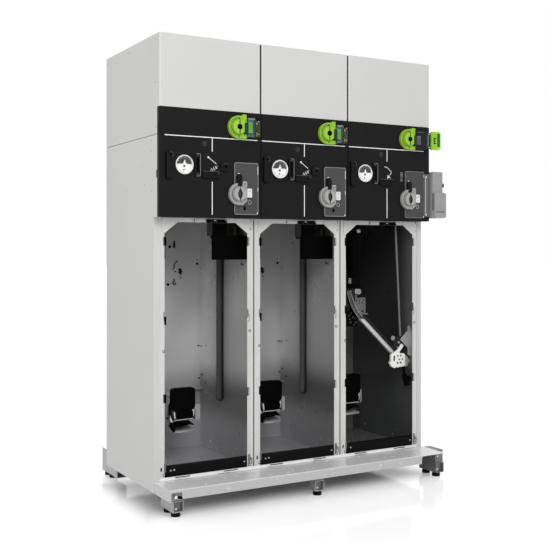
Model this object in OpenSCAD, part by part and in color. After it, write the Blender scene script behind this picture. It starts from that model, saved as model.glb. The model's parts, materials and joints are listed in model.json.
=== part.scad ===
// Ring main unit: three medium-voltage switchgear cubicles side by side on one
// base. Each has a light top cover, a black operating fascia and an open cable
// compartment with its door taken off. X runs along the front, Y towards the
// back, Z up. Y = 0 is the front plane of the door frames, X = 0 the middle
// cubicle's centre and Z = 0 the floor.

/* [Cabinet] */
// Width of one cubicle
module_w = 375; // [340:1:460]
// Height from the floor to the roof
cabinet_h = 1635; // [1560:1:2000]
// Depth from the door frame to the back panels
cabinet_d = 475; // [400:1:700]
// How far the covers stand in front of the door frames
front_step = 55; // [45:1:80]
// Thickness of the folded side panels
side_t = 15.2; // [12:0.1:30]
// Height of the cabinet's base rails above the floor
base_z = 69; // [60:1:90]
// Height of the compartment floors and of the sill
floor_z = 108; // [100:1:130]
// Thickness of the sheet metal of walls, floors and roof
sheet_t = 3; // [2:0.5:4]
// Gap between neighbouring covers
cover_gap = 4.5; // [1:0.1:6]

/* [Levels] */
// Underside of the fascias, which is the top of the door frames
fascia_z0 = 1012; // [980:1:1080]
// Height of each fascia
fascia_h = 372; // [360:1:420]
// Height of the seam between upper and lower side panels
side_seam_z = 1293; // [1200:1:1370]

/* [Door frames] */
// Width of a door frame's stile
stile_w = 26.5; // [20:0.5:34]
// Depth of stiles and top rails
frame_d = 25; // [20:1:40]
// Height of a top rail
rail_h = 15.5; // [14:0.5:30]
// Leg of a corner gusset beyond the stile
gusset_leg = 49; // [30:1:70]
// Height of the corner gussets below the top rail
gusset_drop = 38; // [25:1:60]
// Height of the black threshold bars
threshold_h = 43; // [30:1:60]
// Width of the side panels' front flange over the frame
flange_w = 20.7; // [18:0.1:26]

/* [Operating parts] */
// Radius of the green line-switch dials
line_dial_r = 40; // [34:0.5:42]
// Radius of the grey earth-switch dials
earth_dial_r = 38.5; // [34:0.5:42]
// Distance from a dial's axis to its flat side
dial_flat = 30; // [27:0.5:34]
// Thickness of the dials
dial_t = 12; // [10:0.5:16]
// Radius of the turning rotor in a green dial
line_rotor_r = 25; // [22:0.5:27]
// Radius of the turning rotor in a grey dial
earth_rotor_r = 24; // [21:0.5:26]
// How far a rotor stands in front of its dial
rotor_t = 7; // [6:0.5:10]
// Radius of a rotor's shaft
rotor_shaft_r = 9; // [6:0.5:12]
// Running clearance round a rotor's shaft
shaft_clearance = 0.3; // [0.2:0.1:0.6]
// Outer radius of the pressure gauges
gauge_r = 33; // [26:0.5:40]
// Width of the grey plates under the earth dials
plate_w = 96; // [90:1:104]
// Height of the grey plates
plate_h = 184; // [170:1:200]

/* [Cable compartments] */
// Width of a cable clamp block
clamp_w = 94; // [70:1:120]
// Height of a cable clamp block
clamp_h = 114; // [90:1:140]
// Thickness of a cable clamp block
clamp_t = 60; // [40:1:80]
// Thickness of their wide upper part
clamp_head_t = 22; // [15:1:40]
// Height of the underside of the clamp blocks
clamp_z = 272; // [230:1:320]
// Distance of the clamps' front from the door frame
clamp_y = 200; // [150:1:240]
// Radius of the black drive shafts on the partition walls
post_r = 14; // [10:0.5:18]
// Width of the black panels in front of the bushings
panel_w = 139; // [90:1:150]
// Height of those panels
panel_h = 88; // [70:1:110]

/* [Earthing gear] */
// Radius of the earthing arm's bright tube
arm_tube_r = 11.5; // [7:0.5:12]
// Length of the bright tube
arm_tube_l = 211; // [160:1:260]
// Radius of the ribs on the arm's flexible end
arm_rib_r = 12; // [10:0.5:13]
// Radius of the bend of the flexible end
arm_bend_r = 211; // [170:1:260]
// Width of the white clamp's casting
casting_w = 70; // [60:1:90]
// Height of the white clamp's casting
casting_h = 53; // [44:1:60]
// Radius of the black handle
handle_r = 11; // [9:0.5:11]
// Length of the black handle
handle_l = 46; // [35:1:60]

/* [Base] */
// Depth of the sill in front of the door frames
sill_d = 146; // [120:1:180]
// Height of the sill's front lip
sill_lip_h = 31; // [22:1:36]
// Side of the square foot tubes
foot_w = 39; // [34:1:44]
// Height of the rubber pads
pad_h = 17; // [12:1:22]
// Radius of the rubber pads
pad_r = 16; // [12:0.5:18]
// Distance between neighbouring feet
foot_pitch = 562.5; // [480:0.5:620]
// How far the feet lie to the right of the middle
foot_shift = 38; // [20:1:44]

/* [Control box] */
// Width of the grey control box
box_w = 51; // [40:1:60]
// Height of the grey control box
box_h = 183; // [160:1:220]
// Depth of the grey control box
box_d = 72; // [60:1:80]

/* [Hidden] */
$fn = 48;

cover_y = -front_step;               // front plane of covers and fascias
cover_d = 20;                        // depth of their folded edges
cover_back = cover_y + cover_d;
half_w = 1.5 * module_w;             // outer walls of the row
full_x = half_w + side_t;            // outer faces of the side panels
fascia_z1 = fascia_z0 + fascia_h;
back_panel_y = cabinet_d - sheet_t;
inner_back_y = cabinet_d - 20;       // front face of the compartment backs
opening_w = module_w - 2 * stile_w;
tube_z = pad_h;
tube_top = pad_h + foot_w;
plate_top_z = floor_z;               // upper face of the sill's tread
tread_z = floor_z - sheet_t;

// Places on a fascia, from the cubicle's centre line and from the fascia's foot
dial_x = 93;
line_dial_z = fascia_z0 + 320;
earth_dial_z = fascia_z0 + 84;
gauge_x = -114;
gauge_z = fascia_z0 + 179;
plate_x = 127;
plate_z0 = fascia_z0 + 12;
plate_t = 3;
line_back = cover_y;                 // green dials sit on the fascia
earth_back = cover_y - plate_t;      // grey dials sit on the grey plate

// The earthing gear in the third compartment lies in one upright plane
gear_x = module_w;                   // centre of the third cubicle
gear_y = 58;
arm_bend = [gear_x + 95, 780];       // centre of the flexible end's bend, in X and Z
arm_start = 190;                     // the bend's first and last angle
arm_end = 227;
arm_dir = [-sin(arm_end), cos(arm_end)];
arm_b = arm_bend + arm_bend_r * [cos(arm_end), sin(arm_end)];
arm_c = arm_b + arm_tube_l * arm_dir;
seat_gap = 0.3;                      // gap between pieces that are seated, not fused
casting_y = gear_y - arm_tube_r - seat_gap;   // back of the white casting

function centre(i) = (i - 1) * module_w;
function left_edge(i) = centre(i) - module_w / 2 - (i == 0 ? side_t : 0);
function right_edge(i) = centre(i) + module_w / 2 + (i == 2 ? side_t : 0);
function foot_x(i) = foot_shift + (i - 1) * foot_pitch;

box_gap = 2;                         // control box to side panel
lid_x = 5;                           // its raised cable lid, from the box's left edge
lid_w = 58;
rear_reach = 145;                    // how far the rear feet stand out behind

x_min = -full_x;
x_max = full_x + box_gap + lid_x + lid_w;
y_min = -sill_d;
y_max = cabinet_d + rear_reach;

// ---- shared shapes ----

// Moves the row so that the origin is under the middle of its outline
module placed() {
    translate([-(x_min + x_max) / 2, -(y_min + y_max) / 2, 0]) children();
}

// A box given by two opposite corners
module block(low, high) {
    translate(low) cube(high - low);
}

// A flat outline in X and Z, thickened towards the front from y_back
module facing(y_back, t) {
    translate([0, y_back, 0]) rotate([90, 0, 0]) linear_extrude(t) children();
}

// A flat outline in Y and Z, thickened along X from x0
module sideways(x0, t) {
    translate([x0, 0, 0]) rotate([90, 0, 90]) linear_extrude(t) children();
}

// A rectangle with round corners, from its lowest corner
module round_rect(w, h, r) {
    translate([r, 0]) square([w - 2 * r, h]);
    translate([0, r]) square([w, h - 2 * r]);
    for (x = [r, w - r]) for (y = [r, h - r]) translate([x, y]) circle(r);
}

// A folded cover, open at the back, with rounded upright front edges
module folded_cover(x0, x1, z0, z1, r) {
    difference() {
        translate([0, 0, z0]) linear_extrude(z1 - z0) {
            translate([x0, cover_y + r]) square([x1 - x0, cover_d - r]);
            translate([x0 + r, cover_y]) square([x1 - x0 - 2 * r, r + 1]);
            for (x = [x0 + r, x1 - r]) translate([x, cover_y + r]) circle(r);
        }
        block([x0 + sheet_t, cover_y + sheet_t, z0 + sheet_t],
              [x1 - sheet_t, cover_back + 1, z1 - sheet_t]);
    }
}

// A rod between two points
module rod(from, to, r) {
    run = to - from;
    length = norm(run);
    translate(from)
        rotate([0, acos(run[2] / length), atan2(run[1], run[0])])
            cylinder(h = length, r = r);
}

// ---- base ----

module channel_x(x0, x1, y0, y1, z0, z1) {
    difference() {
        block([x0, y0, z0], [x1, y1, z1]);
        block([x0 - 1, y0 + sheet_t, z0 - 1], [x1 + 1, y1 - sheet_t, z1 - sheet_t]);
    }
}

rail_w = 40;

module base_long_rails() {
    placed() color("silver") {
        channel_x(-half_w, half_w, 0, rail_w, base_z, tread_z);
        channel_x(-half_w, half_w, cabinet_d - rail_w, cabinet_d, base_z, tread_z);
    }
}

module base_cross_rails() {
    placed() color("silver") for (i = [0:3]) {
        x = max(-half_w, min(half_w - rail_w, (i - 1.5) * module_w - rail_w / 2));
        difference() {
            block([x, rail_w, base_z], [x + rail_w, cabinet_d - rail_w, tread_z]);
            block([x + sheet_t, rail_w - 1, base_z - 1],
                  [x + rail_w - sheet_t, cabinet_d - rail_w + 1, tread_z - sheet_t]);
        }
    }
}

lip_end = 110;      // the lip stops this far short of the sill's right end
lip_seam_x = 283;   // joint between the lip's two lengths
upstand_h = 8;      // narrow flange at the sill's back, under the door frames
drain_w = 56;       // slots in that flange
drain_h = 4;

module sill() {
    placed() color("gainsboro") {
        difference() {
            union() {
                block([-full_x, -sill_d, tread_z], [full_x, 0, plate_top_z]);
                block([-full_x, -sill_d, plate_top_z - sill_lip_h],
                      [full_x - lip_end, sheet_t - sill_d, plate_top_z]);
            }
            block([lip_seam_x, -sill_d - 1, plate_top_z - sill_lip_h - 1],
                  [lip_seam_x + 1, -sill_d + sheet_t / 2, plate_top_z - 2]);
        }
        block([-full_x, -sill_d, base_z], [sheet_t - full_x, 0, plate_top_z]);
        difference() {
            block([flange_w + 1 - full_x, -sheet_t, plate_top_z],
                  [full_x - flange_w - 1, 0, plate_top_z + upstand_h]);
            for (i = [0:2]) for (s = [-1, 1])
                translate([centre(i) + s * module_w / 4 - drain_w / 2, -sheet_t - 1,
                           plate_top_z + 2])
                    cube([drain_w, sheet_t + 2, drain_h]);
        }
    }
}

front_foot_y = -92;                  // front end of the front feet
front_foot_l = [105, 37, 105];       // the middle foot is a short one
rear_foot_y = [cabinet_d - 25, y_max];
pad_inset = 24;                      // from a foot's end to the middle of its pad
front_pads = 62;                     // between the two pads of a foot
rear_pads = 51;

module foot_tube(x, y0, y1) {
    difference() {
        block([x - foot_w / 2, y0, tube_z], [x + foot_w / 2, y1, tube_top]);
        block([x - foot_w / 2 + sheet_t, y0 - 1, tube_z + sheet_t],
              [x + foot_w / 2 - sheet_t, y1 + 1, tube_top - sheet_t]);
    }
}

module front_foot(i) {
    x = foot_x(i);
    y0 = front_foot_y;
    y1 = y0 + front_foot_l[i];
    web_y0 = y0 + 6;
    web_y1 = min(y1 - 3, -8);
    foot_tube(x, y0, y1);
    for (s = [x - foot_w / 2, x + foot_w / 2 - sheet_t])
        block([s, web_y0, tube_top - 1], [s + sheet_t, web_y1, tread_z]);
    block([x - foot_w / 2, web_y0, tube_top - 1], [x + foot_w / 2, web_y0 + sheet_t, tread_z]);
    block([x - (i == 2 ? foot_w * 2 : foot_w / 2), web_y0, tread_z - sheet_t],
          [x + foot_w / 2, web_y1, tread_z]);
}

module rear_foot(i) {
    x = foot_x(i);
    y0 = rear_foot_y[0];
    y1 = rear_foot_y[1];
    foot_tube(x, y0, y1);
    block([x - (i == 2 ? foot_w * 2 : foot_w / 2), y0, tube_top - 1],
          [x + foot_w / 2, cabinet_d - 1, base_z]);
    for (s = [x - foot_w / 2, x + foot_w / 2 - sheet_t])
        block([s, cabinet_d + 3, tube_top - 1], [s + sheet_t, y1, tread_z]);
}

module feet() {
    placed() color("silver") for (i = [0:2]) {
        front_foot(i);
        rear_foot(i);
    }
}

module foot_pads() {
    front = front_foot_y + pad_inset;
    placed() color("black") for (i = [0:2])
        for (y = concat(i == 1 ? [front - 5] : [front, front + front_pads],
                        [y_max - pad_inset - rear_pads, y_max - pad_inset]))
            translate([foot_x(i), y, 0]) {
                cylinder(h = pad_h, r = pad_r - 5);
                cylinder(h = pad_h - 6, r = pad_r);
            }
}

// ---- carcass ----

module partition_walls() {
    placed() color("gray") for (i = [0:3]) {
        x = (i - 1.5) * module_w;
        x0 = i == 0 ? x : i == 3 ? x - sheet_t : x - sheet_t / 2;
        sideways(x0, sheet_t) polygon([
            [frame_d, tread_z], [back_panel_y, tread_z],
            [back_panel_y, cabinet_h - sheet_t], [0, cabinet_h - sheet_t],
            [0, fascia_z0], [frame_d, fascia_z0]
        ]);
    }
}

function inner_x0(i) = centre(i) - module_w / 2 + (i == 0 ? sheet_t : sheet_t / 2);
function inner_x1(i) = centre(i) + module_w / 2 - (i == 2 ? sheet_t : sheet_t / 2);

module compartment_floors() {
    placed() color("dimgray") for (i = [0:2])
        block([inner_x0(i), frame_d, tread_z], [inner_x1(i), back_panel_y, floor_z]);
}

module compartment_backs() {
    placed() color("gray") for (i = [0:2])
        block([inner_x0(i), inner_back_y, floor_z],
              [inner_x1(i), inner_back_y + sheet_t, fascia_z0]);
}

module gas_tanks() {
    placed() color("lightgray") for (i = [0:2])
        block([inner_x0(i), 0, fascia_z0], [inner_x1(i), inner_back_y, fascia_z1]);
}

module side_pan(side, z0, z1, outline) {
    x0 = side < 0 ? -full_x : half_w;
    hollow_x0 = side < 0 ? x0 + sheet_t : x0 - 1;
    difference() {
        sideways(x0, side_t) polygon(outline);
        block([hollow_x0, sheet_t, z0 + sheet_t],
              [hollow_x0 + side_t - sheet_t + 1, cabinet_d - sheet_t, z1 - sheet_t]);
    }
}

seam_gap = 2;

module side_panels_lower() {
    z1 = side_seam_z - seam_gap / 2;
    placed() color("lightgray") for (side = [-1, 1]) {
        side_pan(side, base_z, z1, [
            [0, base_z], [cabinet_d, base_z], [cabinet_d, z1],
            [cover_back, z1], [cover_back, fascia_z0], [0, fascia_z0]
        ]);
        x0 = side < 0 ? -full_x : full_x - flange_w;
        block([x0, -2, floor_z + 1], [x0 + flange_w, 0, fascia_z0]);
        block([side < 0 ? -full_x : full_x - side_t, -2, floor_z + 1],
              [side < 0 ? side_t - full_x : full_x, 1, fascia_z0]);
    }
}

module side_panels_upper() {
    z0 = side_seam_z + seam_gap / 2;
    placed() color("lightgray") for (side = [-1, 1])
        side_pan(side, z0, cabinet_h, [
            [cover_back, z0], [cabinet_d, z0], [cabinet_d, cabinet_h], [cover_back, cabinet_h]
        ]);
}

module roof_panels() {
    placed() color("lightgray") for (i = [0:2])
        block([centre(i) - module_w / 2 + cover_gap / 2, cover_back, cabinet_h - sheet_t],
              [centre(i) + module_w / 2 - cover_gap / 2, cabinet_d, cabinet_h]);
}

module back_panels() {
    placed() color("lightgray") for (i = [0:2])
        block([centre(i) - module_w / 2 + cover_gap / 2, back_panel_y, tread_z],
              [centre(i) + module_w / 2 - cover_gap / 2, cabinet_d, cabinet_h - sheet_t]);
}

// ---- door frames ----

frame_t = 2;                 // sheet of the stiles and gussets
hinge_z = [388, 670, 930];   // notches for the doors' hinges and catches
hinge_h = 31;
hinge_w = 5;
key_z = 138;                 // slot at the foot of a stile
key_w = 6;
key_h = 13;

// A stile: an angle with its flange on the side away from the door opening, which is
// on the stile's right where side is 1
module stile(x0, side) {
    w = stile_w - cover_gap / 2;
    difference() {
        block([x0, 0, floor_z], [x0 + w, frame_d, fascia_z0]);
        block([side > 0 ? x0 + frame_t : x0 - 1, frame_t, floor_z - 1],
              [side > 0 ? x0 + w + 1 : x0 + w - frame_t, frame_d + 1, fascia_z0 + 1]);
        for (z = hinge_z)
            block([side > 0 ? x0 + w - hinge_w : x0 - 1, -1, z - hinge_h / 2],
                  [side > 0 ? x0 + w + 1 : x0 + hinge_w, frame_t + 1, z + hinge_h / 2]);
        block([x0 + (w - key_w) / 2, -1, key_z], [x0 + (w + key_w) / 2, 3, key_z + key_h]);
    }
}

module door_stiles() {
    placed() color("silver") for (i = [0:2]) {
        stile(centre(i) - module_w / 2 + cover_gap / 2, 1);
        stile(centre(i) + module_w / 2 - stile_w, -1);
    }
}

module door_top_rails() {
    placed() color("silver") for (i = [0:2])
        block([centre(i) - opening_w / 2, 0, fascia_z0 - rail_h],
              [centre(i) + opening_w / 2, frame_d, fascia_z0]);
}

// Catches in the middle of the top rails: a plate and a latch with two pins in front
catch_x = [-50, 78];
catch_h = 10;
catch_t = 3;
latch_x = -2;
latch_w = 76;
latch_t = 6;
pin_x = [14, 34];

module door_catches() {
    z0 = fascia_z0 - catch_h - 4;
    placed() color("dimgray") for (i = [0:2]) translate([centre(i), 0, 0]) {
        block([catch_x[0], -catch_t, z0], [catch_x[1], 0, z0 + catch_h]);
        facing(1 - catch_t, latch_t + 1) translate([latch_x, z0 - 4])
            round_rect(latch_w, catch_h + 2, 3);
        facing(-catch_t - latch_t + 1, 3) for (x = pin_x) translate([x, z0 + 1]) circle(4);
    }
}

module corner_gussets() {
    over = 10;
    placed() color("silver") for (i = [0:2]) for (s = [-1, 1])
        facing(0, frame_t) translate([centre(i), 0]) polygon([
            [s * (opening_w / 2 + over), fascia_z0 - 1],
            [s * (opening_w / 2 - gusset_leg), fascia_z0 - 1],
            [s * (opening_w / 2 - gusset_leg), fascia_z0 - rail_h],
            [s * opening_w / 2, fascia_z0 - rail_h - gusset_drop],
            [s * (opening_w / 2 + over), fascia_z0 - rail_h - gusset_drop]
        ]);
}

// The bars' ends lie behind the stiles
module threshold_bars() {
    lap = 8;
    placed() color("black") for (i = [0:2])
        block([centre(i) - opening_w / 2 - lap, frame_t, floor_z],
              [centre(i) + opening_w / 2 + lap, frame_d, floor_z + threshold_h]);
}

// ---- covers and fascias ----

module top_covers() {
    placed() color("whitesmoke") for (i = [0:2])
        folded_cover(left_edge(i) + (i == 0 ? 0 : cover_gap / 2),
                     right_edge(i) - (i == 2 ? 0 : cover_gap / 2),
                     fascia_z1 + seam_gap, cabinet_h, 6);
}

module fascias() {
    placed() color([0.14, 0.14, 0.15]) for (i = [0:2]) {
        x0 = left_edge(i) + (i == 0 ? 0 : cover_gap / 2);
        x1 = right_edge(i) - (i == 2 ? 0 : cover_gap / 2);
        folded_cover(x0, x1, fascia_z0, fascia_z1, 3);
        block([max(x0, -half_w), cover_y + 4, fascia_z0],
              [min(x1, half_w), 0, fascia_z0 + sheet_t]);
    }
}

// Black fittings on each fascia: a shutter, a slide plate, a tray grip, a socket
// boss, the lever above the earth dial and the pocket in the green dial
module fascia_fittings() {
    slide_groove = [-68, 154, 9, 52];
    placed() color("black") for (i = [0:2]) translate([centre(i), 0, fascia_z0]) {
        difference() {
            facing(cover_y, 13) translate([-181, 130]) round_rect(24, 92, 6);
            translate([-165, cover_y - 12, 212]) rotate([90, 0, 0]) cylinder(h = 3, r = 4.5);
        }
        difference() {
            facing(cover_y, 5) translate([-74, 141]) round_rect(22, 78, 6);
            facing(cover_y - 2, 5) translate([slide_groove[0], slide_groove[1]])
                square([slide_groove[2], slide_groove[3]]);
        }
        difference() {
            facing(cover_y, 9) translate([-46, 137]) round_rect(66, 23, 5);
            facing(cover_y - 6, 5) translate([-40, 142]) square([46, 13]);
        }
        if (i < 2) difference() {
            facing(cover_y, 6) translate([24, 162]) round_rect(31, 33, 8);
            translate([44, cover_y - 1, 178]) rotate([90, 0, 0]) cylinder(h = 7, r = 5);
        }
        facing(earth_back, 10) translate([dial_x - 6, earth_dial_z - fascia_z0 + 27])
            round_rect(lever_w, 43, lever_w / 2 - 0.5);
        facing(line_back, 5)
            translate([dial_x + pocket_x0 + seat_gap, line_dial_z - fascia_z0 + pocket_z0 + seat_gap])
                square([dial_flat - pocket_x0 - seat_gap, pocket_h - 2 * seat_gap]);
    }
}

module pressure_gauges() {
    bezel = 3.5;
    placed() color("silver") for (i = [0:2]) translate([centre(i) + gauge_x, cover_y, gauge_z])
        rotate([90, 0, 0]) difference() {
            cylinder(h = 9, r = gauge_r);
            translate([0, 0, 6]) cylinder(h = 4, r = gauge_r - bezel);
        }
}

// ---- dials and rotors ----

tab_w = 16;       // width of the square tab at a dial's upper right
tab_h = 45;       // its height above the dial's axis
rim_w = 5;        // outer rim of a dial's face
rim_step = 1.5;   // depth of the ring between the rim and the rotor
mark_w = 4;       // grooves that mark a rotor's position
pocket_x0 = 17;   // pocket in the green dials where the indicator slides in
pocket_z0 = -25;
pocket_h = 41;
lever_w = 18;     // black lever above the grey dials
foot_corner = 14; // cut corner of the grey dials

// D-shaped dial outline: round on the left, flat on the right, with a tab
module dial_outline(r, corner) {
    intersection() {
        circle(r);
        translate([-r, -r]) square([r + dial_flat, 2 * r]);
    }
    translate([0, -r]) square([dial_flat - corner, r]);
    translate([0, corner - r]) square([dial_flat, r - corner]);
    translate([dial_flat - tab_w, 0]) square([tab_w, tab_h - 3]);
    translate([dial_flat - tab_w + 3, 0]) square([tab_w - 6, tab_h]);
    for (x = [dial_flat - tab_w + 3, dial_flat - 3]) translate([x, tab_h - 3]) circle(3);
}

module dial(x, y_back, z, r, corner, rotor_r) {
    translate([x, y_back, z]) rotate([90, 0, 0]) difference() {
        linear_extrude(dial_t) dial_outline(r, corner);
        translate([0, 0, -1]) cylinder(h = dial_t + 2, r = rotor_shaft_r + shaft_clearance);
        translate([0, 0, dial_t - rim_step]) linear_extrude(rim_step + 1) difference() {
            circle(r - rim_w);
            circle(rotor_r + 2.5);
            translate([dial_flat - tab_w - 1, -r]) square([r, 2 * r]);
        }
    }
}

module line_dials() {
    placed() color("yellowgreen") for (i = [0:2]) difference() {
        dial(centre(i) + dial_x, line_back, line_dial_z, line_dial_r, 0.5, line_rotor_r);
        translate([centre(i) + dial_x, 0, line_dial_z])
            block([pocket_x0, line_back - dial_t - 1, pocket_z0],
                  [dial_flat + 1, line_back + 1, pocket_z0 + pocket_h]);
    }
}

module earth_dials() {
    placed() color("silver") for (i = [0:2]) difference() {
        dial(centre(i) + dial_x, earth_back, earth_dial_z, earth_dial_r, foot_corner,
             earth_rotor_r);
        translate([centre(i) + dial_x - 6 - seat_gap, 0, earth_dial_z + 27 - seat_gap])
            block([0, earth_back - dial_t - 1, 0],
                  [lever_w + 2 * seat_gap, earth_back + 1, earth_dial_r]);
    }
}

shaft_end_gap = 1;
socket_depth = rotor_t - 1;

// A rotor: a disc in front of the dial, on a shaft that turns in the dial's bore,
// with a socket for the handle and a groove on each side that shows its position
module rotor(x, y_back, z, r) {
    translate([x, y_back, z]) rotate([90, 0, 0]) {
        translate([0, 0, dial_t + 0.4]) difference() {
            cylinder(h = rotor_t, r = r);
            translate([0, 0, rotor_t - socket_depth]) linear_extrude(socket_depth + 1)
                children();
            translate([-mark_w / 2, -r - 1, rotor_t - 1.5]) cube([mark_w, 2 * r + 2, 3]);
        }
        translate([0, 0, shaft_end_gap])
            cylinder(h = dial_t, r = rotor_shaft_r);
    }
}

module line_rotor(i) {
    placed() color("yellowgreen")
        rotor(centre(i) + dial_x, line_back, line_dial_z, line_rotor_r)
            rotate(30) circle(r = 11.5, $fn = 6);
}

module earth_rotor(i) {
    placed() color("silver")
        rotor(centre(i) + dial_x, earth_back, earth_dial_z, earth_rotor_r)
            intersection() {
                translate([-14, 0]) circle(23);
                translate([14, 0]) circle(23);
            }
}

module line_rotor_1() { line_rotor(0); }
module line_rotor_2() { line_rotor(1); }
module line_rotor_3() { line_rotor(2); }
module earth_rotor_1() { earth_rotor(0); }
module earth_rotor_2() { earth_rotor(1); }
module earth_rotor_3() { earth_rotor(2); }

// ---- indicators beside the green dials ----

window_x = dial_x + dial_flat + 0.6;
window_w = 36;
window_h = 71;
window_z0 = fascia_z0 + 284;
window_t = 16;

module indicator_windows() {
    placed() color([0.5, 0.6, 0.65]) for (i = [0:1]) translate([centre(i) + window_x, 0, 0])
        difference() {
            facing(cover_y, window_t) translate([0, window_z0]) round_rect(window_w, window_h, 4);
            block([3, cover_y - window_t + 3, window_z0 + 3],
                  [window_w - 3, cover_y + 1, window_z0 + window_h - 3]);
        }
}

slide_w = 33;     // the block that is slid out beside the last cubicle
slide_lap = 9;    // its front reaches over the cap

module indicator_blocks() {
    placed() color([0.35, 0.7, 0.25]) {
        for (i = [0:1]) translate([centre(i) + window_x, 0, 0])
            facing(cover_y, 9) translate([5, window_z0 + 17]) round_rect(19, 38, 3);
        facing(cover_y - 3, 24) translate([full_x + 2, window_z0])
            round_rect(slide_w, window_h, 3);
        facing(cover_y - window_t - seat_gap, 27 - window_t - seat_gap)
            translate([full_x + 2 - slide_lap, window_z0])
                round_rect(slide_w, window_h, 3);
    }
}

cap_w = 16.5;

module indicator_caps() {
    placed() color([0.55, 0.6, 0.45]) for (i = [0:2]) {
        x0 = i < 2 ? centre(i) + window_x + window_w + 0.6 : full_x - 24;
        w = i < 2 ? cap_w : 25.6;
        facing(cover_y, window_t - 2) translate([x0, window_z0 + 4]) round_rect(w, 62, 2);
        facing(cover_y - window_t + 2, 2) for (z = [12, 58])
            translate([x0 + w / 2, window_z0 + z]) circle(5);
    }
}

module interlock_cover() {
    placed() color([0.1, 0.1, 0.11]) facing(cover_y, window_t)
        translate([module_w + window_x, window_z0 - 2])
            round_rect(full_x - 25 - module_w - window_x, window_h + 4, 3);
}

// ---- earth-switch plates ----

module mechanism_plates() {
    placed() color([0.3, 0.3, 0.3]) for (i = [0:2]) facing(cover_y, plate_t) difference() {
        translate([centre(i) + plate_x - plate_w / 2, plate_z0]) round_rect(plate_w, plate_h, 7);
        if (i < 2) translate([centre(i) + plate_x - 12, plate_z0 + 16]) square([10, 14]);
    }
}

module padlock_posts() {
    x = dial_x + dial_flat + 0.6;
    placed() color("white") for (i = [0:2]) translate([centre(i) + x, 0, earth_dial_z])
        difference() {
            facing(earth_back, 13) translate([0, -11]) round_rect(19, 31, 2);
            for (z = [-3, 12]) translate([10, earth_back - 10, z])
                rotate([90, 0, 0]) cylinder(h = 4, r = 1.6);
        }
}

// ---- inside the cable compartments ----

panel_y = 48;            // front of the black panels
panel_t = 12;
panel_z = 864;           // their underside
panel_neck = 55;         // right edge of the panels' upper part, from their left edge
boot_x = gear_x - 91;    // axis of the cable boot in the third compartment
boot_y = 48;
boot_r = 30;
boot_neck_r = 26;
boot_neck_z = 823;
boot_top_r = 22;         // narrow end behind the top rail
boot_top_z = fascia_z0 - rail_h - 4;
boot_z = 748;            // the boot's lower end

module bushing_covers() {
    placed() color([0.05, 0.05, 0.05]) {
        for (i = [0:1]) {
            x1 = inner_x1(i);
            block([x1 - panel_w, panel_y, panel_z], [x1, panel_y + panel_t, panel_z + panel_h]);
            block([x1 - panel_w + 4, panel_y, panel_z + panel_h - 1],
                  [x1 - panel_w + panel_neck, panel_y + 60, fascia_z0]);
        }
        translate([boot_x, boot_y, 0]) {
            translate([0, 0, boot_neck_z]) cylinder(h = boot_top_z - boot_neck_z, r = boot_r);
            translate([0, 0, boot_top_z]) cylinder(h = fascia_z0 - boot_top_z, r = boot_top_r);
            translate([0, 0, boot_z]) cylinder(h = boot_neck_z - boot_z, r = boot_neck_r);
            for (z = [boot_neck_z + 40, boot_neck_z + 90])
                translate([0, 0, z]) cylinder(h = 12, r = boot_r + 3);
        }
    }
}

// Resin blocks behind the panels' upper edge, each with two ribs towards the front
module bushing_blocks() {
    rib_x = [42, 16];
    rib_w = 6;
    z0 = panel_z + panel_h - 10;
    front = panel_y + 70;
    placed() color([0.2, 0.2, 0.16]) for (i = [0:1]) {
        x1 = inner_x1(i);
        block([x1 - panel_w + panel_neck + seat_gap, front, z0], [x1, front + 70, fascia_z0]);
        for (x = rib_x)
            block([x1 - x, panel_y + 20, z0], [x1 - x + rib_w, front + 1, fascia_z0 - 30]);
    }
}

post_y = 246;            // axis of the drive shafts
post_z0 = 326;
slim_rod_r = 3;

module cable_posts() {
    placed() color([0.2, 0.2, 0.2]) for (i = [0:1])
        translate([inner_x1(i) - post_r, post_y, 0]) {
            translate([0, 0, post_z0]) cylinder(h = fascia_z0 - post_z0, r = post_r);
            translate([0, 0, post_z0 - 8]) cylinder(h = 8, r1 = post_r / 2, r2 = post_r);
        }
}

rod_r = 5;

module drive_rods() {
    placed() color("silver") {
        for (i = [0:1])
            translate([inner_x1(i) - post_r, post_y + post_r + slim_rod_r + seat_gap, post_z0])
                cylinder(h = fascia_z0 - post_z0, r = slim_rod_r);
        rod([gear_x + 119, gear_y, fascia_z0 - 1], [gear_x + 144, gear_y, crank_top], rod_r);
    }
}

shelf_z = 340;
shelf_d = 30;
shelf_t = 6;

module cable_rails() {
    placed() color("silver") for (i = [0:2]) {
        block([inner_x0(i), inner_back_y - shelf_d, shelf_z],
              [inner_x1(i), inner_back_y, shelf_z + shelf_t]);
        block([inner_x0(i), inner_back_y - sheet_t, shelf_z - 25],
              [inner_x1(i), inner_back_y, shelf_z + shelf_t]);
    }
}

cradle_arm_w = 10;       // arms on both sides of a clamp's narrow foot
head_h = 80;             // wide upper part of a clamp block

module clamp_blocks() {
    foot_w0 = clamp_w - 2 * cradle_arm_w - 2 * seat_gap;
    placed() color([0.05, 0.05, 0.05]) for (i = [0:2])
        translate([centre(i), 0, clamp_z]) {
            facing(clamp_y + clamp_head_t, clamp_head_t)
                translate([-clamp_w / 2, clamp_h - head_h]) round_rect(clamp_w, head_h, 12);
            facing(clamp_y + clamp_t, clamp_t)
                translate([-foot_w0 / 2, 0]) round_rect(foot_w0, clamp_h - head_h + 20, 12);
        }
}

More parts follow.
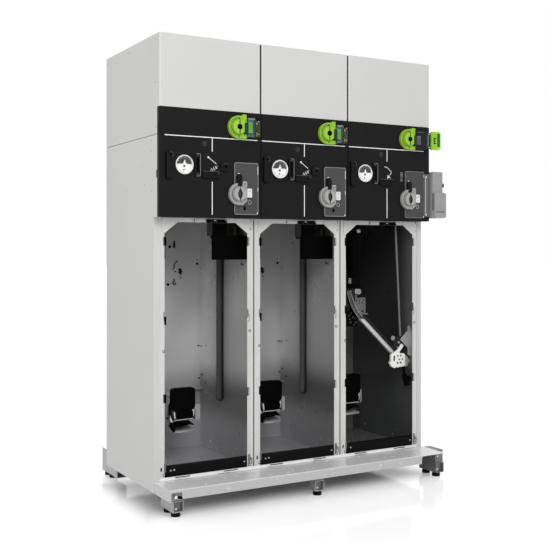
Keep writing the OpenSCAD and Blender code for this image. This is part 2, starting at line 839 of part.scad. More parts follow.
module clamp_brackets() {
    t = 4;
    back = clamp_y + clamp_t;
    wing_x = clamp_w / 2 + 48;
    wing_drop = 18;
    wing_rise = 39;
    neck = 24;
    tray_x = clamp_w / 2 - 7;
    tray_drop = 32;
    tray_front = 50;
    placed() color("lightgray") for (i = [0:2]) translate([centre(i), 0, 0]) {
        block([-clamp_w / 2, clamp_y, clamp_z - t], [clamp_w / 2, back + t, clamp_z]);
        for (s = [-1, 1])
            block([s > 0 ? clamp_w / 2 - cradle_arm_w : -clamp_w / 2, clamp_y, clamp_z - t],
                  [s > 0 ? clamp_w / 2 : cradle_arm_w - clamp_w / 2, clamp_y + 16,
                   clamp_z + clamp_h - head_h - seat_gap]);
        facing(back + t, t) translate([-wing_x, clamp_z - wing_drop])
            round_rect(2 * wing_x, wing_drop + wing_rise, 8);
        block([-neck, back, clamp_z - tray_drop], [neck, back + t, clamp_z]);
        block([-20, back, clamp_z], [20, back + t, shelf_z + t]);
        block([-20, back, shelf_z], [20, inner_back_y - shelf_d, shelf_z + t]);
        sideways(-tray_x, 2 * tray_x) polygon([
            [clamp_y - 2, clamp_z - tray_front], [back + 1, clamp_z - tray_drop],
            [back + 1, clamp_z - tray_drop + t], [clamp_y + 4, clamp_z - tray_front + t + 1],
            [clamp_y - 2, clamp_z - tray_front + t + 4]
        ]);
    }
}

// ---- earthing gear of the third compartment ----

// The arm: a ribbed flexible end on a bend, and a straight bright tube
module earthing_arm() {
    ribs = 20;
    step = (arm_end - arm_start) / ribs;
    rib_t = 4;
    placed() color("silver") {
        translate([arm_bend[0], gear_y, arm_bend[1]]) rotate([90, 0, 0]) {
            rotate(arm_start) rotate_extrude(angle = arm_end - arm_start)
                translate([arm_bend_r, 0]) circle(arm_rib_r - 1.5);
            for (k = [0:ribs - 1]) rotate(arm_start + (k + 0.5) * step)
                translate([arm_bend_r, 0, 0]) rotate([90, 0, 0])
                    translate([0, 0, -rib_t / 2]) cylinder(h = rib_t, r = arm_rib_r);
        }
        rod([arm_b[0], gear_y, arm_b[1]], [arm_c[0], gear_y, arm_c[1]], arm_tube_r);
    }
}

// A sector of a flat ring, between two angles less than 90 degrees apart
module ring_sector(r, w, from, to) {
    reach = 2 * r;
    intersection() {
        difference() {
            circle(r + w / 2, $fn = 96);
            circle(r - w / 2, $fn = 96);
        }
        polygon([[0, 0], [reach * cos(from), reach * sin(from)],
                 [reach * cos(to), reach * sin(to)]]);
    }
}

casting_x = gear_x + 82;             // left edge and underside of the casting
casting_z = 428;
casting_t = 10;
lever_r = 92.5;                      // bend of the lever on top of the casting
lever_t = 7;
lobes = [[0, 17, 6], [18, 3, 7], [34, 4, 7]];   // round lugs on its left edge and foot
hole_x = 34;                         // two rows of three holes, the middle one shifted
hole_pitch = 15;
hole_shift = 7;

module earthing_clamp() {
    placed() color("white") difference() {
        union() {
            facing(casting_y, casting_t) translate([casting_x, casting_z]) {
                round_rect(casting_w, casting_h, 10);
                for (p = lobes) translate([p[0], p[1]]) circle(p[2]);
            }
            facing(casting_y - 1, lever_t) {
                translate([casting_x - 20, casting_z + casting_h + 83])
                    ring_sector(lever_r, 12, -75, -31);
                translate([casting_x, casting_z + casting_h - 1])
                    polygon([[20, 0], [38, 18], [48, 0]]);
            }
        }
        for (j = [0:2]) for (k = [0:1])
            translate([casting_x + hole_x + hole_pitch * k + (j == 1 ? hole_shift : 0),
                       casting_y + 1, casting_z + 16 + 14 * j])
                rotate([90, 0, 0]) cylinder(h = casting_t + 2, r = j == 0 ? 5 : 3.7, $fn = 24);
        facing(casting_y + 1, casting_t + 2) translate([casting_x + 12, casting_z + 24])
            round_rect(9, 22, 3);
    }
}

// A terminal plate under the boot on the left, and a gusset with a stop disc on
// the right wall
module earthing_brackets() {
    wall = inner_x1(2);
    stop_y = casting_y + seat_gap;
    t = 4;
    plate_y = gear_y + arm_rib_r + seat_gap + t;
    plate_w = 57;
    strip_w = 10;             // upright strip along the wall
    strip_z = [470, 590];
    stop_z = 447;             // stop disc behind the casting and its link to the wall
    stop_r = 23;
    stop_link = 5;
    placed() color("lightgray") {
        facing(plate_y, t) difference() {
            translate([boot_x + 15, boot_z - 107]) union() {
                square([plate_w, 68]);
                translate([plate_w, 0]) square([12, 5]);
                translate([-12, 60]) square([27, 47]);
                translate([-12, 60]) square([40, 8]);
            }
            translate([boot_x + 42, boot_z - 63]) square([2.5, 25]);
        }
        facing(stop_y + t, t) {
            polygon([[wall, 569], [gear_x + 172, 569], [gear_x + 136, 536],
                     [gear_x + 166, 508], [gear_x + 175, 500], [wall, 500]]);
            translate([wall - strip_w, strip_z[0]])
                round_rect(strip_w, strip_z[1] - strip_z[0], 4.5);
            translate([gear_x + 157, stop_z]) circle(stop_r);
            translate([gear_x + 157, stop_z - stop_link])
                square([wall - gear_x - 157, 2 * stop_link]);
        }
        sideways(wall - t, t) polygon([[frame_d + 4, strip_z[0]], [stop_y + 1, strip_z[0]],
                                       [stop_y + 1, strip_z[1]], [frame_d + 14, 580],
                                       [frame_d + 4, 560]]);
    }
}

crank_top = 549;

// The dark link beside the tube and the crank plate that the drive rod moves
module earthing_crank() {
    away = [-arm_dir[1], arm_dir[0]] * (arm_tube_r + 7);
    from = arm_b + away;
    to = arm_c + away;
    t = 6;
    placed() color([0.2, 0.2, 0.2]) {
        rod([from[0], gear_y, from[1]], [to[0], gear_y, to[1]], 4);
        facing(gear_y + t / 2, t) difference() {
            polygon([[gear_x + 104, crank_top - 1], [gear_x + 150, crank_top - 1],
                     [gear_x + 154, 520], [gear_x + 136, 490], [gear_x + 114, 488]]);
            translate([gear_x + 111, crank_top - 8]) circle(3);
        }
    }
}

module earthing_handle() {
    y = casting_y - handle_r - seat_gap;
    tilt = 18;
    down = [sin(tilt), 0, -cos(tilt)];
    top = [gear_x + 147, y, 396];       // where the thin neck meets the grip
    knob_at = top + 18 * down + [16, 1, 0];
    placed() color([0.03, 0.03, 0.03]) {
        rod([gear_x + 143, y, casting_z - seat_gap], top, handle_r - 5);
        rod(top, top + handle_l * down, handle_r);
        translate(knob_at) sphere(r = handle_r - 1);
    }
}

// ---- control box on the right side ----

box_x = full_x + box_gap;
box_z = fascia_z0 + 14;
lid_h = 100;     // height of the cable lid
lid_t = 8;
slit_w = 4.5;    // slit on the lid's left, and four vents low on the lid
vent_w = 8;
vent_pitch = 11;

module control_box() {
    front = cover_y - 17;
    placed() color("gray") difference() {
        union() {
            facing(front + box_d, box_d) translate([box_x, box_z]) round_rect(box_w, box_h, 5);
            facing(front + box_d, box_d + lid_t) translate([box_x + lid_x, box_z])
                round_rect(lid_w, lid_h, 9);
        }
        block([box_x + lid_x - slit_w, front - 1, box_z + 30],
              [box_x + lid_x, front + 5, box_z + lid_h]);
        for (k = [0:3]) translate([box_x + lid_x + 8 + vent_pitch * k, 0, box_z + 18])
            facing(front - lid_t + 4, 5) polygon([[0, vent_w], [vent_w, vent_w],
                                                  [vent_w / 2, 0]]);
    }
}

knob_r = 9;

module control_box_knob() {
    placed() color([0.15, 0.15, 0.15])
        translate([box_x + box_w + seat_gap, cover_y - 7, box_z + 130])
            rotate([0, 90, 0]) {
                cylinder(h = 8, r = knob_r);
                translate([0, 0, 8]) cylinder(h = 3, r1 = knob_r, r2 = knob_r - 3);
            }
}

module control_box_bracket() {
    placed() color("silver") {
        block([full_x - 24, cover_y - 2, box_z + 4], [full_x + 2, cover_y, box_z + box_h - 10]);
        block([full_x, cover_y - 2, box_z + 4], [full_x + 2, 0, box_z + box_h - 10]);
    }
}

// ---- what is drawn ----

base_long_rails();
base_cross_rails();
sill();
feet();
foot_pads();
partition_walls();
compartment_floors();
compartment_backs();
gas_tanks();
side_panels_lower();
side_panels_upper();
roof_panels();
back_panels();
door_stiles();
door_top_rails();
door_catches();
corner_gussets();
threshold_bars();
top_covers();
fascias();
fascia_fittings();
pressure_gauges();
line_dials();
line_rotor_1();
line_rotor_2();
line_rotor_3();
indicator_windows();
indicator_blocks();
indicator_caps();
interlock_cover();
mechanism_plates();
earth_dials();
earth_rotor_1();
earth_rotor_2();
earth_rotor_3();
padlock_posts();
bushing_covers();
cable_posts();
bushing_blocks();
drive_rods();
cable_rails();
clamp_blocks();
clamp_brackets();
earthing_arm();
earthing_clamp();
earthing_brackets();
earthing_crank();
earthing_handle();
control_box();
control_box_knob();
control_box_bracket();
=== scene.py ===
import json
from math import cos, hypot, radians, sin

import bmesh
import bpy
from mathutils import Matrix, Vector


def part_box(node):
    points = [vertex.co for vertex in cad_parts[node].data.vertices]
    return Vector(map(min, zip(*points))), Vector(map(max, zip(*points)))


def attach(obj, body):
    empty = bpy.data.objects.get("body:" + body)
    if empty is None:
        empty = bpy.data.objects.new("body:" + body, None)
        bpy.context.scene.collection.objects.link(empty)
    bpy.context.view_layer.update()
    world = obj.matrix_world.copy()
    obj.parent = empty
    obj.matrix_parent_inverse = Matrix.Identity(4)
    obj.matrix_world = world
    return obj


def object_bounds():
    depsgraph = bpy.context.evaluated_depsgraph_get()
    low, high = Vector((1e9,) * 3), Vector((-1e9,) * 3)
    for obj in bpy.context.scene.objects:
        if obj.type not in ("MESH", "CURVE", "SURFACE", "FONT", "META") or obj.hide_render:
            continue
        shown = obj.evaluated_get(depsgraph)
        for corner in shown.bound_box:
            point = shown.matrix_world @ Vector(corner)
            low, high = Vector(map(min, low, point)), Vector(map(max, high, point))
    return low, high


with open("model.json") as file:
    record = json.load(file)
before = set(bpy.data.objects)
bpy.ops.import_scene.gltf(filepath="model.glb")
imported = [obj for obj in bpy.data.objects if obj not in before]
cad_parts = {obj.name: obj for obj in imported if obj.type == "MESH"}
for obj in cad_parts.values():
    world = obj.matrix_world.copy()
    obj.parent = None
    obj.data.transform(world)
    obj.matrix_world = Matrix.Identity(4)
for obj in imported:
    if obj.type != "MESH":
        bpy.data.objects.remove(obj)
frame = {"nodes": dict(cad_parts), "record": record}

cad_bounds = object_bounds()

# ---- places, in metres, read from the frame ----


def middle(node):
    low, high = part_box(node)
    return (low + high) / 2


CABINET = "cabinet"
FASCIA_LOW, FASCIA_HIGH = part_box("fascias")
COVER_LOW, COVER_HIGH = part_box("top_covers")
PLATE_LOW, PLATE_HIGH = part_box("mechanism_plates")
BACK_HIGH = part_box("back_panels")[1]
SILL_LOW, SILL_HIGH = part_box("sill")
PITCH = middle("line_rotor_2").x - middle("line_rotor_1").x
ROW_X = (FASCIA_LOW.x + FASCIA_HIGH.x) / 2
CENTRES = [ROW_X + (i - 1) * PITCH for i in range(3)]
FRONT_Y = FASCIA_LOW.y
FRAME_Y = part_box("door_top_rails")[0].y
FLOOR_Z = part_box("compartment_floors")[1].z
THIRD_LEFT = CENTRES[2] - PITCH / 2     # border of the third cubicle
MM = 0.001
# in mm, from the surface that a mark is on
SUNK = -0.2                      # where a mark's back lies
PROUD = 0.3                      # where the face of most marks lies
FLUSH = 0.02                     # where the face of an inlaid piece lies

# ---- materials ----


def put(tree, socket, value):
    """Sets a socket to a constant, or links a node's output to it."""
    if isinstance(value, bpy.types.NodeSocket):
        tree.links.new(value, socket)
    else:
        socket.default_value = value


class Tree:
    """A node tree, with short calls for making and linking its nodes."""

    def __init__(self, tree):
        self.tree = tree

    def new(self, kind, sockets=None, **values):
        """Makes a node from its inputs and attributes, and gives its outputs."""
        node = self.tree.nodes.new(kind)
        for name, value in values.items():
            setattr(node, name, value)
        for name, value in (sockets or {}).items():
            put(self.tree, node.inputs[name], value)
        return node.outputs

    def math(self, operation, first, second):
        return self.new("ShaderNodeMath", {0: first, 1: second}, operation=operation)["Value"]

    def largest(self, first, *others):
        for other in others:
            first = self.math("MAXIMUM", first, other)
        return first

    def seen(self):
        """A factor that is 1 for camera, glossy and transmission rays."""
        rays = self.new("ShaderNodeLightPath")
        return self.largest(*(rays[f"Is {kind} Ray"]
                              for kind in ("Camera", "Glossy", "Transmission")))


class Nodes(Tree):
    """A material's node tree, with short calls for the nodes used here."""

    def __init__(self, name):
        self.material = bpy.data.materials.new(name)
        self.material.use_nodes = True
        super().__init__(self.material.node_tree)
        self.place = self.new("ShaderNodeTexCoord")["Object"]

    def put(self, name, value):
        """Gives one of the shader's inputs a constant or a node's output."""
        put(self.tree, self.tree.nodes["Principled BSDF"].inputs[name], value)

    def noise(self, scale, detail=3, factors=(1, 1, 1)):
        stretched = self.new("ShaderNodeMapping", {"Scale": factors, "Vector": self.place})
        return self.new("ShaderNodeTexNoise", {
            "Scale": scale, "Detail": detail, "Vector": stretched["Vector"]})["Fac"]

    def spangle(self):
        cells = self.new("ShaderNodeTexVoronoi", {"Scale": SPANGLE, "Vector": self.place})
        return self.new("ShaderNodeRGBToBW", {"Color": cells["Color"]})["Val"]

    def span(self, value, start, end, low=0, high=1, smooth=False):
        """value from start to end gives low to high."""
        return self.new("ShaderNodeMapRange", {
            "Value": value, "From Min": start, "From Max": end, "To Min": low, "To Max": high
        }, interpolation_type="SMOOTHSTEP" if smooth else "LINEAR")["Result"]

    def ramp(self, value, low=0, high=1):
        return self.span(value, 0.3, 0.7, low, high)

    def along(self, axis, *span, **more):
        """A span of the places along an axis."""
        place = self.new("ShaderNodeSeparateXYZ", {"Vector": self.place})[axis]
        return self.span(place, *span, **more)

    def fade(self, axis, *span):
        return self.along(axis, *span, smooth=True)

    def beyond(self, axis, border, width=MM):
        """1 beyond a place along an axis, and 0 before it."""
        return self.along(axis, border, border + width)

    def blend(self, factor, first, second, kind="MIX"):
        """A mix of two colours; each is a colour or the output of a node."""
        first, second = (colour if isinstance(colour, bpy.types.NodeSocket) else (*colour, 1)
                         for colour in (first, second))
        return self.new("ShaderNodeMix", {"Factor": factor, "A": first, "B": second},
                        data_type="RGBA", blend_type=kind)["Result"]

    def product(self, first, second):
        return self.blend(1, first, second, "MULTIPLY")

    def mottle(self, scale, detail, dark, light):
        """A base colour that varies in patches between two colours."""
        self.put("Base Color", self.blend(self.ramp(self.noise(scale, detail)), dark, light))

    def gloss(self, rough, scale, detail=4, spread=0.15):
        """Roughness that varies in patches by a share of itself."""
        self.put("Roughness", self.ramp(self.noise(scale, detail),
                                        rough * (1 - spread), rough * (1 + spread)))

    def bump(self, value, strength, distance):
        self.put("Normal", self.new("ShaderNodeBump", {
            "Height": value, "Strength": strength, "Distance": distance})["Normal"])


SPANGLE = 140          # zinc spangles per metre


def neutral(tone):
    return (tone, tone, tone)


def shades(colour, spread):
    """A darker and a lighter version of a colour."""
    return [c * (1 - spread) for c in colour], [min(1, c * (1 + spread)) for c in colour]


def paint(name, colour, rough, spread=0.02, grain=900, specular=0.5):
    """Powder coat: nearly even colour with a fine orange-peel surface."""
    n = Nodes(name)
    n.mottle(3, 4, *shades(colour, spread))
    n.put("Roughness", rough)
    n.put("Specular IOR Level", specular)
    n.bump(n.noise(grain, 2), 0.15, 0.0002)
    return n.material


def plastic(name, colour, rough, specular=0.5):
    """Moulded plastic: a fine-grained surface with slightly uneven gloss."""
    n = Nodes(name)
    n.mottle(40, 3, *shades(colour, 0.06))
    n.gloss(rough, 18, 3)
    n.put("Specular IOR Level", specular)
    n.bump(n.noise(2500, 2), 0.12, 0.0001)
    return n.material


def zinc(name, colour, rough, metallic=0.5, streaks=(1, 1, 1)):
    """Galvanised steel: zinc spangles a little lighter and darker than each other."""
    n = Nodes(name)
    spots = n.blend(n.ramp(n.noise(9, 4, streaks)), *shades(colour, 0.05))
    tint = n.blend(n.spangle(), *shades(neutral(1), 0.05))
    n.put("Base Color", n.product(spots, tint))
    n.put("Metallic", metallic)
    n.gloss(rough, 25)
    n.bump(n.noise(300, 3), 0.06, 0.0002)
    return n.material


def painted_light_lining(name, low, painted_light_stops, front, back, third, third_top, third_front_sheen, rough):
    """Sheet inside the compartments: satin, with painted light and shade in its tone: the tone
    goes by height through some steps, which paint reflections and shade, and from front to
    back by two factors, which paint light and shade, and the second compartment is darker,
    which paints shade. The third compartment has a dark finish, made lighter towards the
    front by painted sheen, and lighter low down."""
    n = Nodes(name)
    tone = (low, low, 1.03 * low)
    # painted reflections and shade: the tone steps by height
    for start, end, value in painted_light_stops:
        up = n.fade("Z", FLOOR_Z + start, FLOOR_Z + end)
        tone = n.blend(up, tone, neutral(value))
    # painted light and shade: the tone goes from front to back by two factors
    depth = n.fade("Y", FRAME_Y + 0.05, FRAME_Y + 0.45)
    tone = n.product(tone, n.blend(depth, neutral(front), neutral(back)))
    # painted shade: the second compartment is darker
    second = n.beyond("X", CENTRES[1] - PITCH / 2, 0.1 * MM)
    tone = n.product(tone, n.blend(second, neutral(1), neutral(0.82)))
    # the third compartment's dark finish, made lighter towards the front by painted sheen, and
    # lighter low down
    depth = n.fade("Y", FRAME_Y + 0.03, FRAME_Y + 0.14)
    dark = n.blend(depth, neutral(third_front_sheen), neutral(third_top))
    up = n.fade("Z", FLOOR_Z + 0.25, FLOOR_Z + 0.4)
    dark = n.blend(up, (third, 1.03 * third, 1.03 * third), dark)
    tone = n.blend(n.beyond("X", THIRD_LEFT + 0.5 * MM, 0.1 * MM), tone, dark)
    patches = n.blend(n.ramp(n.noise(4, 2)), neutral(0.82), (1, 1, 1))
    n.put("Base Color", n.product(tone, patches))
    n.put("Metallic", 0.2)
    n.gloss(rough, 6)
    n.bump(n.noise(10, 2), 0.1, 0.001)
    return n.material


def bright(name, colour, rough):
    """Polished metal with faint handling marks."""
    n = Nodes(name)
    n.mottle(120, 4, *shades(colour, 0.04))
    n.put("Metallic", 1.0)
    n.gloss(rough, 90, spread=0.4)
    return n.material


def clear(name, colour, rough, ior=1.45):
    """Clear plastic or glass, tinted by its colour."""
    n = Nodes(name)
    n.mottle(30, 2, *shades(colour, 0.03))
    n.put("Transmission Weight", 1.0)
    n.put("IOR", ior)
    n.put("Roughness", rough)
    return n.material


def braided(name, border, turn):
    """Polished tube below a height, and above it a dark braid. The tube has fine rings
    across it, which run square to a direction turned about Y."""
    n = Nodes(name)
    braid = n.beyond("Z", border)
    n.put("Base Color", n.blend(braid, (0.5, 0.5, 0.49), neutral(0.02)))
    along = n.new("ShaderNodeMapping", {"Rotation": (0, turn, 0), "Vector": n.place})
    rings = n.new("ShaderNodeTexWave", {"Scale": 60, "Vector": along["Vector"]})["Fac"]
    n.put("Metallic", 0.85)
    n.put("Roughness", n.span(rings, 0, 1, 0.2, 0.42))
    n.bump(rings, 0.7, 0.001)
    return n.material


def stepped(name, tone, steps, rough, metallic=0.3, spread=0.08, specular=0.3):
    """Zinc or paint whose tone changes beyond some places along the axes."""
    n = Nodes(name)
    colour = neutral(tone)
    for axis, border, value in steps:
        colour = n.blend(n.beyond(axis, border), colour, neutral(value))
    tint = n.blend(n.spangle(), *shades(neutral(1), spread))
    n.put("Base Color", n.product(colour, tint))
    n.put("Metallic", metallic)
    n.put("Specular IOR Level", specular)
    n.gloss(rough, 25)
    return n.material


def black_with_painted_sheen(name, left, right):
    """Black tube with a painted sheen: lighter on the side that faces left."""
    n = Nodes(name)
    normal = n.new("ShaderNodeNewGeometry")["Normal"]
    side = n.span(n.new("ShaderNodeSeparateXYZ", {"Vector": normal})["X"], -1, 0.2)
    n.put("Base Color", n.blend(side, neutral(left), neutral(right)))
    n.put("Roughness", n.ramp(n.noise(25, 4), 0.4, 0.5))
    n.put("Specular IOR Level", 0.15)
    return n.material


LOOKS = {name: make(name, colour, rough, **more) for name, make, colour, rough, more in (
    ("galvanised", zinc, (0.6, 0.6, 0.585), 0.4, {"metallic": 0.35, "streaks": (3, 3, 0.4)}),
    ("dark_steel", paint, (0.016, 0.016, 0.017), 0.45, {"spread": 0.15, "specular": 0.15}),
    ("olive_resin", plastic, (0.05, 0.05, 0.042), 0.4, {"specular": 0.2}),
    ("pad_rubber", plastic, neutral(0.006), 0.7, {"specular": 0.1}),
    ("tank_steel", zinc, neutral(0.15), 0.4, {}),
    ("panel_paint", paint, (0.575, 0.575, 0.566), 0.45, {}),
    ("cover_paint", paint, (0.58, 0.58, 0.572), 0.45, {}),
    ("threshold_black", paint, neutral(0.004), 0.4, {"spread": 0.1, "specular": 0.06}),
    ("fascia_black", plastic, (0.0095, 0.0095, 0.01), 0.55, {"specular": 0.08}),
    ("fitting_black", plastic, neutral(0.004), 0.4, {"specular": 0.12}),
    ("gauge_metal", bright, neutral(0.85), 0.12, {}),
    ("dial_green", plastic, (0.27, 0.5, 0.03), 0.35, {"specular": 0.25}),
    ("rotor_green", plastic, (0.3, 0.53, 0.045), 0.35, {"specular": 0.25}),
    ("window_plastic", clear, (0.6, 0.76, 0.8), 0.03, {}),
    ("indicator_green", plastic, (0.32, 0.72, 0.04), 0.3, {"specular": 0.25}),
    ("cap_plastic", plastic, (0.045, 0.055, 0.035), 0.35, {"specular": 0.15}),
    ("plate_grey", paint, (0.052, 0.052, 0.053), 0.4, {"spread": 0.08, "specular": 0.3}),
    ("dial_grey", plastic, (0.33, 0.33, 0.32), 0.4, {"specular": 0.3}),
    ("rotor_grey", plastic, (0.36, 0.36, 0.35), 0.4, {"specular": 0.3}),
    ("post_white", plastic, (0.72, 0.72, 0.71), 0.35, {}),
    ("moulding_black", plastic, neutral(0.0012), 0.5, {"specular": 0.03}),
    ("dull_steel", zinc, neutral(0.16), 0.5, {}),
    ("cast_white", paint, (0.85, 0.85, 0.83), 0.35, {}),
    ("control_grey", plastic, neutral(0.3), 0.5, {"specular": 0.3}),
)}
# the steps and factors paint reflections and shade into the sheet's tone
LOOKS["compartment_sheet"] = painted_light_lining(
    "compartment_sheet", 0.5, [(0.08, 0.2, 0.4), (0.22, 0.35, 0.68), (0.5, 0.85, 0.66)],
    1, 1, 0.16, 0.07, 0.07, 0.35
)
LOOKS["bright_steel"] = braided("bright_steel", FLOOR_Z + 0.518, radians(-43))

# Nodes whose look differs from the rest of their slot
NODE_LOOKS = {
    # painted reflections and shade in the walls' tone, and painted sheen near the third
    # compartment's front
    "partition_walls": painted_light_lining(
        "wall_sheet_painted_light", 0.5, [(0.1, 0.2, 0.24), (0.24, 0.36, 0.74), (0.5, 0.85, 0.6)],
        0.78, 1.3, 0.11, 0.055, 0.22, 0.3
    ),
    # painted shade: the floor of the second compartment is darker
    "compartment_floors": painted_light_lining("floor_sheet_painted_shade", 0.5, [], 1, 1, 0.16, 0.16, 0.16, 0.22),
    # painted light: the sill's top is lighter than its lip
    "sill": stepped("sill_zinc_painted_light", 0.5, [("Z", SILL_HIGH.z - 9.5 * MM, 0.84)], 0.25, 0.2, 0.04),
    # painted shadow: the right foot is darker
    "feet": stepped("foot_zinc_painted_shadow", 0.42, [("X", 0.4, 0.2)], 0.4),
    "earthing_brackets": stepped(
        "bracket_zinc", 0.004,
        [("X", CENTRES[2] - 69 * MM, 0.13), ("X", CENTRES[2] + 50 * MM, 0.5)], 0.4
    ),
    # painted shade: in front of the blocks' backs the cradles are darker, and near black from
    # just below the blocks up
    "clamp_brackets": stepped(
        "cradle_zinc_painted_shade", 0.3,
        [("Z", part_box("clamp_blocks")[0].z - 10 * MM, 0.02),
         ("Y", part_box("clamp_blocks")[1].y - MM, 0.5)], 0.4, 0.2
    ),
    "cable_rails": stepped("rail_zinc", 0.4, [("X", THIRD_LEFT, 0.1)], 0.4),
    "bushing_covers": stepped(
        "cover_black", 0.0012,
        [("Y", FRAME_Y + 62 * MM, 0.1), ("X", THIRD_LEFT, 0.0012)], 0.5, 0, 0.1, 0.02
    ),
    # painted sheen: the posts are lighter on their left side
    "cable_posts": black_with_painted_sheen("post_black_painted_sheen", 0.09, 0.012),
    "interlock_cover": plastic("cover_plastic", (0.009, 0.011, 0.018), 0.4, specular=0.15),
}

MARK_WHITE, MARK_PALE, MARK_LIGHT, MARK_GREY, MARK_FAINT = (
    paint(name, colour, 0.5, grain=1500, specular=specular) for name, colour, specular in (
        ("mark_white", (0.88, 0.88, 0.86), 0.5), ("mark_pale", neutral(0.3), 0.2),
        ("mark_light", neutral(0.5), 0.3), ("mark_grey", neutral(0.11), 0.2),
        ("mark_faint", (0.045, 0.045, 0.046), 0.2)
    )
)
DEEP_BLACK = plastic("deep_black", neutral(0.002), 0.5, specular=0.02)
SLATE = plastic("slate", (0.1, 0.18, 0.21), 0.3, specular=0.3)
DARK_GREEN = plastic("dark_green", (0.012, 0.035, 0.018), 0.35, specular=0.2)
EMERALD = plastic("emerald", (0.01, 0.13, 0.03), 0.3, specular=0.4)
LIME_EDGE = plastic("lime_edge", (0.26, 0.33, 0.05), 0.4, specular=0.2)
GLASS = clear("gauge_glass", (1, 1, 1), 0.0, ior=1.2)
STEEL = bright("fastener_steel", (0.62, 0.62, 0.6), 0.32)
DULL_STEEL = LOOKS["dull_steel"]

for part in frame["record"]["subparts"]:
    node = frame["nodes"][part["node"]]
    node.data.materials.clear()
    node.data.materials.append(NODE_LOOKS.get(part["node"], LOOKS[part["material_slot"]]))
    for polygon in node.data.polygons:
        polygon.material_index = 0


def add_object(name, data):
    thing = bpy.data.objects.new(name, data)
    bpy.context.scene.collection.objects.link(thing)
    return thing


# ---- a small kit for the pieces that are added to the frame ----

FACINGS = {
    "front": ((1, 0, 0), (0, 0, 1), (0, -1, 0)),
    "back": ((-1, 0, 0), (0, 0, 1), (0, 1, 0)),
    "left": ((0, -1, 0), (0, 0, 1), (-1, 0, 0)),
    "right": ((0, 1, 0), (0, 0, 1), (1, 0, 0)),
    "up": ((1, 0, 0), (0, 1, 0), (0, 0, 1)),
}


def heading(angle):
    return cos(radians(angle)), sin(radians(angle))


def circle(r, sides=24, u=0, v=0, start=0, end=360):
    """Points of a circle or of an arc, in millimetres."""
    count = sides if end - start == 360 else sides + 1
    step = radians(end - start) / sides
    return [(u + r * cos(radians(start) + k * step),
             v + r * sin(radians(start) + k * step)) for k in range(count)]


def rounded(w, h, r, u=0, v=0):
    """Points of a rectangle with round corners, from its lowest corner at u, v."""
    points = []
    for cu, cv, start in ((w - r, h - r, 0), (r, h - r, 90), (r, r, 180), (w - r, r, 270)):
        points += circle(r, 5, u + cu, v + cv, start, start + 90)
    return points


